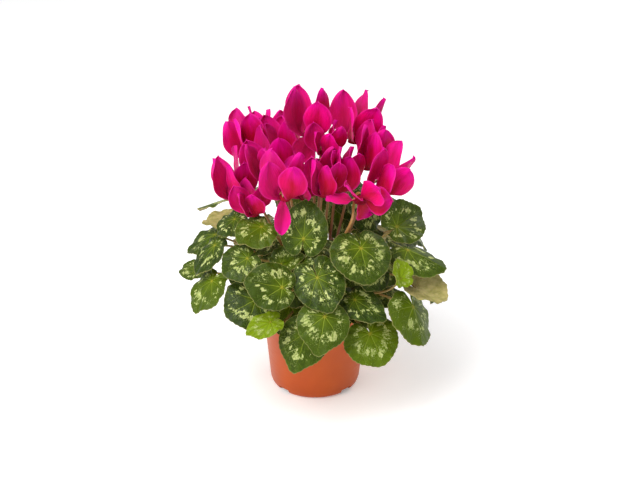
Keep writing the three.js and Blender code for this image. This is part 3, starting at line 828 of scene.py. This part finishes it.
def soil_shape():
    taper = (WALL_TOP_RADIUS - WALL_FOOT_RADIUS) / (COLLAR_FOOT - 9.5)
    edge = WALL_FOOT_RADIUS - WALL - 1 + (SOIL_EDGE - 7.4) * taper
    low = WALL_FOOT_RADIUS - WALL - 1 + (9 - 7.4) * taper
    inner = TUBER_RADIUS + GAP
    profile = [(0, FLOOR_TOP + GAP), (40, FLOOR_TOP + GAP), (low, 9), (edge, SOIL_EDGE)]
    for share in np.linspace(0.985, 0, 16):
        profile.append((inner + (edge - inner) * share, SOIL_TOP))
    for angle in np.linspace(0.08, 1.5, 8):
        radius = inner * math.cos(angle)
        profile.append((radius, TUBER_CENTRE - (TUBER_HALF_HEIGHT + GAP) * math.sin(angle)))
    profile.append((0, TUBER_CENTRE - TUBER_HALF_HEIGHT - GAP))
    shape = spun(profile, SOIL_SIDES, compost_finish)
    for point in shape.points:
        if point[2] == SOIL_TOP:
            point[2] += soil_height(point[0], point[1])
    return shape


soil_block = soil_shape()
soil = finish_piece("compost", [soil_block], ["soil"])
print("compost:", len(soil.data.polygons), "faces")

# %% Crumbs scattered on the compost
crumb_inputs = {
    "Density": "Float", "Smallest": "Float", "Largest": "Float", "Seed": "Int",
    "Finish": "Material"}
crumb_tree = geometry_tree("crumbs on a surface", crumb_inputs)
given = crumb_tree.nodes.new("NodeGroupInput").outputs
spread = add_node(
    crumb_tree, "GeometryNodeDistributePointsOnFaces", {},
    {"Mesh": given["Geometry"], "Density": given["Density"], "Seed": given["Seed"]})
ball = add_node(crumb_tree, "GeometryNodeMeshIcoSphere", {}, {"Radius": 1.0, "Subdivisions": 1})
bulk = {"Min": (0.6, 0.6, 0.4), "Max": (1.3, 1.1, 0.9), "Seed": given["Seed"]}
squash = add_node(crumb_tree, "FunctionNodeRandomValue", {"data_type": "FLOAT_VECTOR"}, bulk)
spin = {"Min": (0.0, 0.0, 0.0), "Max": (math.tau, math.tau, math.tau), "Seed": given["Seed"]}
turn = add_node(crumb_tree, "FunctionNodeRandomValue", {"data_type": "FLOAT_VECTOR"}, spin)
sizes = add_node(crumb_tree, "FunctionNodeRandomValue", {"data_type": "FLOAT"}, {"Seed": given["Seed"]})
crumb_tree.links.new(given["Smallest"], sizes.inputs[2])
crumb_tree.links.new(given["Largest"], sizes.inputs[3])
scaled = add_node(crumb_tree, "ShaderNodeVectorMath", {"operation": "SCALE"}, {0: squash.outputs[0]})
crumb_tree.links.new(sizes.outputs[1], scaled.inputs["Scale"])
placed = add_node(
    crumb_tree, "GeometryNodeInstanceOnPoints", {},
    {"Points": spread.outputs[0], "Instance": ball.outputs[0], "Rotation": turn.outputs[0],
     "Scale": scaled.outputs[0]})
real = add_node(crumb_tree, "GeometryNodeRealizeInstances", {}, {"Geometry": placed.outputs[0]})
dressed = add_node(
    crumb_tree, "GeometryNodeSetMaterial", {},
    {"Geometry": real.outputs[0], "Material": given["Finish"]})
crumb_tree.links.new(dressed.outputs[0], crumb_tree.nodes.new("NodeGroupOutput").inputs[0])

surface = [f for f in soil_block.faces if all(soil_block.points[c][2] > SOIL_EDGE + 1 for c in f)]
ground = bpy.data.meshes.new("ground")
ground.from_pydata(soil_block.points.tolist(), [], surface)
crumb_values = {"Density": 0.16, "Smallest": 0.5, "Largest": 1.7, "Seed": 4, "Finish": compost_finish}
crumbs_mesh = run_tree(ground, crumb_tree, crumb_values)
crumbs = finish_piece("compost_crumbs", [shape_of(crumbs_mesh, compost_finish)], [])
print("crumbs:", len(crumbs.data.polygons) // 20)

# %% Tuber
TUBER_SEGMENTS = 64
TUBER_ROWS = 28


def tuber_shape():
    profile = [(0, -1)]
    for row in range(1, TUBER_ROWS):
        angle = math.pi * row / TUBER_ROWS
        profile.append((math.sin(angle), -math.cos(angle)))
    profile.append((0, 1))
    shape = spun(profile, TUBER_SEGMENTS, tuber_finish)
    for point in shape.points:
        rough = 0.012 * noise.noise(Vector(point) * 3.1) + 0.006 * noise.noise(Vector(point) * 9.0)
        point *= 1 + rough
        point *= (TUBER_RADIUS, TUBER_RADIUS, TUBER_HALF_HEIGHT)
        point[2] += TUBER_CENTRE
    return shape


tuber = finish_piece("tuber", [tuber_shape()], ["tuber_and_stalks"])
print("tuber:", len(tuber.data.polygons), "faces")

# %% [markdown]
# ## The leaf blade
# A blade is heart-shaped: its outline is a radius for each angle about the junction with the stalk.
# Rings of points fan out from the junction, which puts them along the margin, where teeth and waves
# need them. A square grid cut to the outline would not. The blade droops along and across its
# midrib, its margin waves and carries small teeth, and it swells a little between the main veins.

# %% Blade of a leaf
FOLIAGE_CENTRE = np.array([0, 0, 100.0])
BLADE_THICKNESS = 0.55
BLADE_CURL = 0.12
BLADE_ARCH = 0.16
BLADE_WAVE = 1.1
BLADE_RIPPLE = 0.9
BLADE_QUILT = 0.9
SINUS_HALF_ANGLE = math.radians(6)
TEETH = 38
TOOTH_DEPTH = 0.009
RINGS = 12
OUTLINE_STEPS = 176


def heart_radius(angle, lobes=0.06, point=0.08):
    """How far the outline lies from the junction, as a share of the blade's length."""
    lobe = np.clip(1 - (np.abs(angle) / math.pi) ** 12, 0, None) ** 0.75
    body = 1 - point - 0.22 * (1 - np.cos(angle))
    beak = point * np.exp(-((angle / 0.25) ** 2))
    return (body + beak + lobes * np.sin(angle / 2) ** 2) * lobe


def blade_frame(leaf):
    """The junction, the ways along, out of and across the blade, and the blade's length."""
    junction = np.array(leaf["junction"], float)
    span = np.array(leaf["tip"], float) - junction
    length = np.linalg.norm(span)
    along = span / length
    out = junction - FOLIAGE_CENTRE
    out = direction(out - out.dot(along) * along)
    out = turned_about(out, along, leaf.get("roll", 0))
    return junction, along, out, np.cross(out, along), length


def blade_shape(leaf, seed):
    junction, along, out, across, length = blade_frame(leaf)
    limit = math.pi - SINUS_HALF_ANGLE
    angle = np.linspace(-limit, limit, OUTLINE_STEPS + 1)[None, :]
    reach = (np.arange(1, RINGS + 1) / RINGS)[:, None] ** 0.85
    tooth = 1.006 + TOOTH_DEPTH * reach ** 12 * np.sin(TEETH * angle)
    outline = {name: leaf[name] for name in ("lobes", "point") if name in leaf}
    radius = reach * heart_radius(angle, **outline) * tooth
    u, v = radius * np.cos(angle), radius * np.sin(angle)
    side = v * length * leaf.get("width", 1)
    wave = BLADE_WAVE * reach ** 3 * np.sin(5 * angle + leaf.get("phase", 0))
    ripple = np.sin(9 * angle + 2.3 * seed) + 0.5 * np.sin(16 * angle + seed)
    ripple = BLADE_RIPPLE * reach ** 4 * ripple
    sector = angle * (1 + 0.16 * radius) / VEIN_SPACING
    quilt = BLADE_QUILT * np.sin(math.pi * sector) ** 2 * reach * (1 - reach ** 3)
    droop = (BLADE_CURL * (u * length) ** 2 + BLADE_ARCH * side ** 2) / length
    fold = math.radians(leaf.get("fold", 0))
    raised = wave + ripple + quilt - droop + np.abs(side) * math.sin(fold)
    points = (junction + (u * length)[..., None] * along
              + (side * math.cos(fold))[..., None] * across + raised[..., None] * out)
    middle = np.vstack([junction[None, :], points.reshape(-1, 3)])
    marks = {
        "blade_u": np.concatenate([[0], u.ravel()]),
        "blade_v": np.concatenate([[0], v.ravel()]),
        "reach": np.concatenate([[0], (reach + 0 * angle).ravel()]),
        "tone": np.full(len(middle), 0.5 + 0.5 * vary(seed + 0.37)),
        "young": np.full(len(middle), leaf.get("young", 0.08 + 0.08 * vary(seed + 0.71))),
    }
    fan = [(0, 1 + i, 2 + i) for i in range(OUTLINE_STEPS)]
    faces = fan + sheet_faces(RINGS, OUTLINE_STEPS + 1, start=1)
    return thicken(middle, faces, BLADE_THICKNESS, leaf_finish, marks)


print("blade:", RINGS, "rings of", OUTLINE_STEPS, "steps,", TEETH, "teeth")

# %% [markdown]
# A leaf stalk springs from the tuber's crown, leans out over the rim and meets the blade from
# inside. Its path is one cubic curve, and the stalk tree sweeps it.

# %% Stalk of a leaf
ROOT_RING = {"inner": 4.5, "outer": 11, "upper": 16.5, "middle": 21, "lower": 25.5}
PETIOLE_RADIUS = 1.2
PETIOLE_RISE = 0.45
CROWN_PULL = 0.42
BLADE_PULL = 0.36
ARRIVAL = 50
ROOT_SINK = 2.5
UP = np.array([0, 0, 1.0])


def azimuth_of(point):
    return math.degrees(math.atan2(point[0], -point[1]))


def tuber_point(azimuth, ring_radius):
    angle = math.radians(azimuth)
    height = TUBER_CENTRE + TUBER_HALF_HEIGHT * math.sqrt(1 - (ring_radius / TUBER_RADIUS) ** 2)
    return np.array([ring_radius * math.sin(angle), -ring_radius * math.cos(angle), height])


def tuber_normal(point):
    flat = TUBER_RADIUS ** 2
    return direction(np.array([
        point[0] / flat, point[1] / flat, (point[2] - TUBER_CENTRE) / TUBER_HALF_HEIGHT ** 2]))


def petiole_shape(leaf):
    junction, along, out, _, _ = blade_frame(leaf)
    foot = tuber_point(leaf.get("root", azimuth_of(junction)), ROOT_RING[leaf["tier"]])
    normal = tuber_normal(foot)
    foot = foot + normal * GAP
    distance = np.linalg.norm(junction - foot)
    start = direction(normal + PETIOLE_RISE * (UP - normal))
    arrival = math.radians(leaf.get("arrival", ARRIVAL))
    end = along * math.cos(arrival) + out * math.sin(arrival)
    rising = foot + CROWN_PULL * distance * start
    arriving = junction - BLADE_PULL * distance * end
    handles = [foot, rising, arriving, junction - 0.5 * end]
    path = [foot - ROOT_SINK * start]
    for t in np.linspace(0, 1, 25):
        weights = ((1 - t) ** 3, 3 * t * (1 - t) ** 2, 3 * t * t * (1 - t), t ** 3)
        path.append(sum(weight * handle for weight, handle in zip(weights, handles)))
    return stalk_shape(path, PETIOLE_RADIUS * 1.1, PETIOLE_RADIUS * 0.85, petiole_finish)


def leaf_piece(name, leaf, seed, nodes):
    return finish_piece(name, [blade_shape(leaf, seed), petiole_shape(leaf)], nodes)


print("leaf stalk radius", PETIOLE_RADIUS, "mm")

# %% [markdown]
# ## Where the leaves are
# These are the same places as in the solid model: the tier, where round the crown the stalk is
# rooted, where it meets the blade, and where the tip lies. Then come a blade's own width, lobes,
# fold or roll. The leaves that show clearly in the photograph are listed one by one, because no rule
# gives this plant's own face. The leaves round the back are unseen, so they follow three tiers.

# %% Leaves of the face and sides


def leaf_at(tier, root, junction, tip, **own):
    """Where one leaf is, and what sets it apart from a plain one."""
    return dict(tier=tier, root=root, junction=junction, tip=tip, **own)


FACE_LEAVES = [
    leaf_at("upper", 19, (43, -91, 200), (51, -117, 176), width=1.1, lobes=0.14, point=0.1),
    leaf_at("middle", 11, (2, -103, 175), (15, -127, 152), width=0.86, lobes=0.22, point=0.1),
    leaf_at("upper", -22, (-11, -81, 205), (-8, -67, 239), width=0.82),
    leaf_at("middle", -15, (-31, -113, 170), (-65, -118, 180), width=0.91, lobes=-0.06, roll=15,
        young=0.1),
    leaf_at("lower", 4, (9, -119, 142), (3, -141, 112), width=1.02, point=0.18, young=0.17),
    leaf_at("lower", -5, (-8, -110, 119), (-21, -130, 86), width=0.9, point=0.18, young=0.1),
    leaf_at("middle", 18, (38, -96, 147), (68, -112, 136), width=0.76, point=0.16, roll=-20),
    leaf_at("lower", 18, (53, -102, 113), (67, -120, 89), width=1.14, young=0.34),
    leaf_at("lower", 40, (95, -87, 134), (106, -112, 107), width=1.06, point=0.05, fold=-6, roll=-6,
        young=0.3),
    leaf_at("middle", 34, (56, -74, 170), (50, -95, 158), width=1.14),
    leaf_at("lower", 34, (82, -83, 163), (79, -73, 180), width=0.97, fold=30, young=1),
    leaf_at("lower", 56, (99, -67, 144), (128, -75, 133), width=1.14, fold=-12, roll=160, arrival=25),
    leaf_at("upper", 52, (90, -59, 182), (128, -71, 171), width=0.72, fold=-25),
    leaf_at("upper", 66, (80, -39, 197), (107, -12, 205), width=0.95, point=0.16, fold=22),
    leaf_at("middle", 72, (81, -23, 177), (102, -29, 175), width=1.14),
    leaf_at("upper", -33, (-51, -72, 213), (-73, -87, 206), width=1.14, lobes=-0.04, young=0.2),
    leaf_at("upper", -58, (-78, -45, 208), (-95, -55, 197), width=1.14),
    leaf_at("middle", -74, (-100, -20, 179), (-130, -24, 165), width=0.94, lobes=-0.08),
    leaf_at("middle", -56, (-98, -50, 182), (-118, -70, 162), width=0.82, lobes=-0.14),
    leaf_at("middle", -38, (-64, -91, 189), (-87, -102, 179), width=1.12, lobes=-0.06),
    leaf_at("lower", -50, (-100, -73, 155), (-119, -91, 132), width=0.92, lobes=-0.1, young=0.22),
    leaf_at("lower", -82, (-120, -16, 138), (-140, -11, 134), width=0.72),
    leaf_at("lower", -26, (-57, -100, 149), (-85, -112, 140), width=1.14, lobes=-0.06),
    leaf_at("lower", -15, (-42, -121, 137), (-65, -130, 131), width=0.72, roll=38, arrival=75,
        young=0.9),
    leaf_at("upper", -114, (-88, 48, 188), (-124, 50, 178), width=0.85),
    leaf_at("upper", -82, (-84, -10, 193), (-112, -17, 187), width=0.85, roll=175, arrival=12),
    leaf_at("middle", -27, (-32, -77, 176), (-12, -81, 188), width=0.9, fold=30),
    leaf_at("middle", -5, (-13, -81, 177), (4, -89, 187), width=0.85),
]

for index, leaf in enumerate(FACE_LEAVES):
    name = f"leaf_{index + 1:02d}"
    leaf_piece(name, leaf, index + 1, [name])
print("leaves of the face and sides:", len(FACE_LEAVES))

# %% Leaves of the back
# junction and tip are given as a distance from the axis and a height
BACK_TIERS = [
    dict(tier="upper", count=3, first=112, step=48, junction=(78, 199), tip=(107, 180)),
    dict(tier="middle", count=4, first=98, step=32, junction=(98, 172), tip=(120, 147)),
    dict(tier="lower", count=5, first=78, step=36, junction=(106, 140), tip=(128, 113)),
]


def tiers_of_leaves(tiers, first_seed=0):
    leaves = []
    for tier_index, row in enumerate(tiers):
        for i in range(row["count"]):
            seed = first_seed + 31 * tier_index + 5 * i
            azimuth = row["first"] + row["step"] * i + 3 * vary(seed)

            def place(spot, turn):
                angle = math.radians(azimuth + turn)
                height = spot[1] + 3 * vary(seed + 1)
                return (spot[0] * math.sin(angle), -spot[0] * math.cos(angle), height)

            leaves.append(leaf_at(
                row["tier"], azimuth, place(row["junction"], 0), place(row["tip"], 5 * vary(seed + 2)),
                width=1 + 0.1 * vary(seed + 3), phase=seed))
    return leaves


for index, leaf in enumerate(tiers_of_leaves(BACK_TIERS)):
    name = f"back_leaf_{index + 1:02d}"
    leaf_piece(name, leaf, 50 + index, [name])
print("leaves of the back:", sum(row["count"] for row in BACK_TIERS))

# %% [markdown]
# Under that outer shell grow smaller leaves, which keep the light from falling through the plant.
# They are too many for the solid model, so they are only here. They follow the same rule as the
# leaves of the back. A few more fill the middle, behind the flower stalks.

# %% Small leaves inside the crown
INNER_TIERS = [
    dict(tier="upper", count=10, first=-104, step=34, junction=(48, 176), tip=(74, 166)),
    dict(tier="middle", count=12, first=-98, step=28, junction=(66, 151), tip=(93, 134)),
    dict(tier="lower", count=11, first=-80, step=30, junction=(72, 125), tip=(98, 108)),
]

# these tip their faces toward the viewer
MIDDLE_LEAVES = [
    leaf_at("upper", 150, (10, 34, 206), (14, 12, 182)),
    leaf_at("upper", 128, (36, 32, 206), (36, 10, 182)),
    leaf_at("upper", 120, (24, 24, 186), (27, 3, 163)),
    leaf_at("upper", 105, (53, 16, 196), (52, -6, 174)),
    leaf_at("upper", 200, (-18, 34, 202), (-15, 12, 178)),
]
inner_leaves = tiers_of_leaves(INNER_TIERS, 200) + MIDDLE_LEAVES
for index, leaf in enumerate(inner_leaves):
    leaf_piece(f"inner_leaf_{index + 1:02d}", leaf, 80 + index, [])
print("small leaves inside:", len(inner_leaves))

# %% [markdown]
# ## The flower
# A cyclamen flower hangs face down, and its five petals sweep back up from the throat like wings,
# each with a twist near its foot. The petal's midline turns from the throat's rim into its sweep.
# Rows of points lie across it, widest past the middle, with a soft dish, a ruffled margin and a
# rounded tip. A flat cut-out could be bent instead, but rows can each turn with the twist.

# %% Sizes and outline of a petal
PETAL_THICKNESS = 0.4
PETAL_LENGTH = 50
PETAL_WIDTH = 28
STALK_OPENING = 108
PETAL_SPACING = (360 - STALK_OPENING) / 4
PETAL_TURN = 0.115
PETAL_TWIST = 52
PETAL_FLARE = 6
PETAL_CURL = -6
PETAL_VARIATION = {"twist": 7, "flare": 3.5, "curl": 13}
PETAL_DISH = 0.16
PETAL_RUFFLE = 1.5
PETAL_BUCKLE = 1.3
PETAL_GROOVE = 0.7
THROAT_RADIUS = 5.6
THROAT_HEIGHT = 4.6
PETAL_ROWS = 26
PETAL_COLUMNS = 15
FINE_STEPS = 8


def bloom_frame(bloom):
    throat = np.array(bloom["throat"], float)
    axis = direction(np.array(bloom.get("axis", (throat[0] / 300, throat[1] / 300, 1)), float))
    inward = np.array([-throat[0], -throat[1], 0])
    inward = direction(inward - inward.dot(axis) * axis)
    return throat, axis, inward, np.cross(axis, inward)


def petal_half_width(t):
    """Half the petal's width at each share of its length, where 1 is the widest."""
    fullness = 1 - 0.3 * np.clip((t - 0.4) / 0.4, 0, 1)
    return 0.14 * (1 - t) ** 4 + np.clip(np.sin(math.pi * t ** 1.159), 0, None) ** fullness


print("a petal is widest at", round(float(np.argmax(petal_half_width(np.linspace(0, 1, 101)))), 1), "%")

# %% Petal of a flower


def petal_shape(bloom, bloom_index, index):
    throat, axis, inward, square = bloom_frame(bloom)
    own = bloom.get("petals", {}).get(index, {})
    seed = 10 * bloom_index + index
    placed = math.radians(STALK_OPENING / 2 + PETAL_SPACING * index)
    outward = inward * math.cos(placed) + square * math.sin(placed)
    sideways = np.cross(axis, outward)
    scale = bloom.get("length", 1) * own.get("length", 1)
    length = PETAL_LENGTH * scale * (1 + 0.1 * vary(seed + 1))
    lean = own.get("flare", bloom.get("flare", PETAL_FLARE))
    flare = math.radians(lean + PETAL_VARIATION["flare"] * vary(seed + 2))
    tip_curl = math.radians(PETAL_CURL + PETAL_VARIATION["curl"] * vary(seed + 3))
    turn = math.radians(PETAL_TWIST + PETAL_VARIATION["twist"] * vary(seed + 6))
    t = np.linspace(0, 1, (PETAL_ROWS - 1) * FINE_STEPS + 1)
    slope = flare + (math.pi / 2 - flare) * np.exp(-t / PETAL_TURN) + tip_curl * t * t
    step = length / (len(t) - 1)
    ahead = (np.sin(slope)[:, None] * outward + np.cos(slope)[:, None] * axis) * step
    start = throat + (THROAT_RADIUS - 2.2) * outward + 0.6 * axis
    line = start + np.vstack([np.zeros(3), np.cumsum((ahead[1:] + ahead[:-1]) / 2, axis=0)])
    t, slope, line = t[::FINE_STEPS], slope[::FINE_STEPS], line[::FINE_STEPS]
    face = np.cos(slope)[:, None] * outward - np.sin(slope)[:, None] * axis
    twist = (turn * np.minimum(1, t / 0.3))[:, None]
    over = sideways * np.cos(twist) + face * np.sin(twist)
    flat = face * np.cos(twist) - sideways * np.sin(twist)
    half = PETAL_WIDTH / 2 * petal_half_width(t) * bloom.get("width", 1) * own.get("width", 1)
    across = np.linspace(-1, 1, PETAL_COLUMNS)[None, :]
    wide = half[:, None] * across
    phase = 3 * vary(seed + 4)
    waves = np.sin(8 * t[:, None] + phase + 1.5 * across) + 0.5 * np.sin(17 * t[:, None] - 2 * phase)
    ruffle = PETAL_RUFFLE * np.abs(across) ** 3 * waves * t[:, None]
    buckle = PETAL_BUCKLE * np.sin(3.4 * across + 2.6 * t[:, None] + 2 * phase) * t[:, None]
    groove = PETAL_GROOVE * np.exp(-(across / 0.14) ** 2) * (1 - t[:, None])
    dish = PETAL_DISH * half[:, None] * across ** 2
    height = ruffle + buckle - dish - groove
    middle = line[:, None, :] + wide[..., None] * over[:, None, :]
    middle = middle + height[..., None] * flat[:, None, :]
    marks = {
        "along": np.broadcast_to(t[:, None], wide.shape).ravel(),
        "across": np.broadcast_to(across, wide.shape).ravel(),
        "tone": np.full(wide.size, 0.5 + 0.5 * vary(seed + 5)),
    }
    faces = [(a, d, c, b) for a, b, c, d in sheet_faces(PETAL_ROWS, PETAL_COLUMNS)]
    return thicken(middle.reshape(-1, 3), faces, PETAL_THICKNESS, petal_finish, marks)


print("petal:", PETAL_ROWS, "by", PETAL_COLUMNS, "points")

# %% [markdown]
# The throat is a short bell that joins the five petals. Its mouth faces down and is a dark crimson
# hollow, so it is turned like the pot and takes the petals' finish at its darkest, where the painted
# shade toward the throat is deepest. Above it sit the calyx's five small sepals.

# %% Throat and calyx
CALYX_RADIUS = 4.4
SEPAL_COLUMNS = 5
SEPAL_ROWS = 6


def stood_on_axis(shape, bloom):
    throat, axis, inward, square = bloom_frame(bloom)
    shape.points = throat + shape.points @ np.array([inward, square, axis])
    return shape


def throat_shape(bloom):
    profile = [
        (0, 3.2), (2.6, 2.6), (4.3, 0.4), (5.0, -1.0), (THROAT_RADIUS, -1.2),
        (THROAT_RADIUS + 0.2, -0.4), (THROAT_RADIUS - 0.3, 1.6),
        (THROAT_RADIUS - 1, THROAT_HEIGHT - 0.5), (2.4, THROAT_HEIGHT), (0, THROAT_HEIGHT)]
    shape = spun(eased(profile, 0.6, 2), 30, petal_finish)
    height = shape.points[:, 2]
    shape.marks = {"along": np.clip(0.05 + 0.03 * height, 0.0, 0.2), "tone": np.full(len(height), 0.5)}
    return stood_on_axis(shape, bloom)


def calyx_shapes(bloom):
    shapes = []
    for index in range(5):
        turn = 2 * math.pi * (index + 0.5) / 5
        t = np.linspace(0, 1, SEPAL_ROWS)[:, None]
        across = np.linspace(-1, 1, SEPAL_COLUMNS)[None, :]
        half = 1.9 * (1 - t ** 1.6) ** 0.7 + 0.02
        out = 0.6 + t * CALYX_RADIUS + 0 * across
        rise = 7.2 - 0.8 * t - 2.2 * t ** 3 + 0.1 * across ** 2
        radial = np.array([math.cos(turn), math.sin(turn), 0])
        tangent = np.array([-math.sin(turn), math.cos(turn), 0])
        middle = out[..., None] * radial + (half * across)[..., None] * tangent + rise[..., None] * UP
        faces = sheet_faces(SEPAL_ROWS, SEPAL_COLUMNS)
        marks = {"along": np.full(middle.size // 3, 0.7)}
        sepal = thicken(
            middle.reshape(-1, 3), faces, PETAL_THICKNESS, flower_stalk_finish, marks)
        shapes.append(stood_on_axis(sepal, bloom))
    return shapes


print("throat radius", THROAT_RADIUS, "mm, calyx radius", CALYX_RADIUS, "mm")

# %% [markdown]
# Each flower stalk stands in the tuber's crown, runs up behind its flower and hooks over to hang it
# by the calyx. The path passes through chosen points on a centripetal curve, which keeps the tight
# bend of the hook round.

# %% Flower stalk
HOOK = [(0.2, 5.9), (0.8, 8.4), (4.2, 9.6), (8.4, 6.6), (10.6, -1), (12.4, -12)]
ROOT_DEPTH = 3
STALK_RADIUS = 1.5


def through(points, steps):
    """Points along a centripetal curve that passes through the given ones."""
    points = [2 * points[0] - points[1], *points, 2 * points[-1] - points[-2]]
    line = []
    for four in zip(points, points[1:], points[2:], points[3:]):
        spans = [np.linalg.norm(b - a) ** 0.5 for a, b in zip(four, four[1:])]
        knots = np.cumsum([0] + spans)
        for t in np.linspace(knots[1], knots[2], steps, endpoint=False):
            # each round mixes neighbours, between the knots that they reach from and to
            mixed = list(four)
            for low, high in ((knots[:3], knots[1:]), (knots[:2], knots[2:]), (knots[1:2], knots[2:3])):
                mixed = [
                    (b - t) / (b - a) * p + (t - a) / (b - a) * q
                    for p, q, a, b in zip(mixed, mixed[1:], low, high)]
            line += mixed
    return line + [points[-2]]


def flower_stalk_shape(bloom):
    throat, axis, inward, _ = bloom_frame(bloom)
    hook = [throat + side * inward + rise * axis for side, rise in HOOK]
    crown = tuber_point(bloom.get("root", azimuth_of(throat)), ROOT_RING[bloom["ring"]])
    foot = crown - ROOT_DEPTH * tuber_normal(crown)
    lean = hook[-1] - foot
    lower = foot + 0.3 * lean + 6 * UP
    upper = foot + 0.68 * lean + 3 * UP
    line = through([foot, lower, upper, *reversed(hook)], 6)
    return stalk_shape(line, STALK_RADIUS * 1.08, STALK_RADIUS * 0.8, flower_stalk_finish)


print("hook of", len(HOOK), "points")

# %% [markdown]
# ## Where the flowers are
# Each flower is placed by its throat. One flower at the right faces the viewer, more open than the
# rest, and one at the left has a petal that hangs down.

# %% Flowers and their stalks


def bloom_at(ring, throat, **own):
    """Where one flower hangs, and what sets it apart from a plain one."""
    return dict(ring=ring, throat=throat, **own)


BLOOMS = [
    bloom_at("outer", (-44, -34, 246), root=-59, flare=13),
    bloom_at("outer", (-76, -31, 224), root=-76, axis=(-0.1, -0.15, 1), width=0.85),
    bloom_at("outer", (-58, -60, 222), flare=14, length=0.68, width=0.8),
    bloom_at("outer", (-28, -80, 247), root=-30, petals={2: dict(flare=160, length=0.7, width=0.65)}),
    bloom_at("inner", (-10, -45, 232), root=13, flare=11, length=0.8),
    bloom_at("outer", (8, -66, 245), root=-8, length=0.88, width=0.8),
    bloom_at("inner", (21, -48, 241), root=23, axis=(0.2, -0.1, 1), flare=7.7),
    bloom_at("outer", (42, -90, 248), root=3, axis=(0, 0.75, 0.66), flare=90, length=0.57),
    bloom_at("outer", (50, -24, 254)),
    bloom_at("outer", (38, 8, 268), flare=16),
    bloom_at("outer", (61, -54, 241), root=44, axis=(0.35, -0.2, 1), flare=12),
    bloom_at("inner", (9, -30, 271), flare=17, length=0.66, width=0.75),
    bloom_at("inner", (-6, -14, 282), root=-10, flare=10, petals={2: dict(flare=140, length=0.6)}),
    bloom_at("outer", (-62, 0, 254), root=-94),
    bloom_at("outer", (-46, 44, 239), length=0.9),
    bloom_at("inner", (-28, 13, 245), flare=10),
]

stalks = []
for bloom_index, bloom in enumerate(BLOOMS):
    name = f"bloom_{bloom_index + 1:02d}"
    shapes = [petal_shape(bloom, bloom_index, index) for index in range(5)]
    finish_piece(name, [*shapes, throat_shape(bloom)], [name])
    stalks += [flower_stalk_shape(bloom), *calyx_shapes(bloom)]
finish_piece("flower_stalks", stalks, ["tuber_and_stalks"])
print("flowers:", len(BLOOMS))

# %% [markdown]
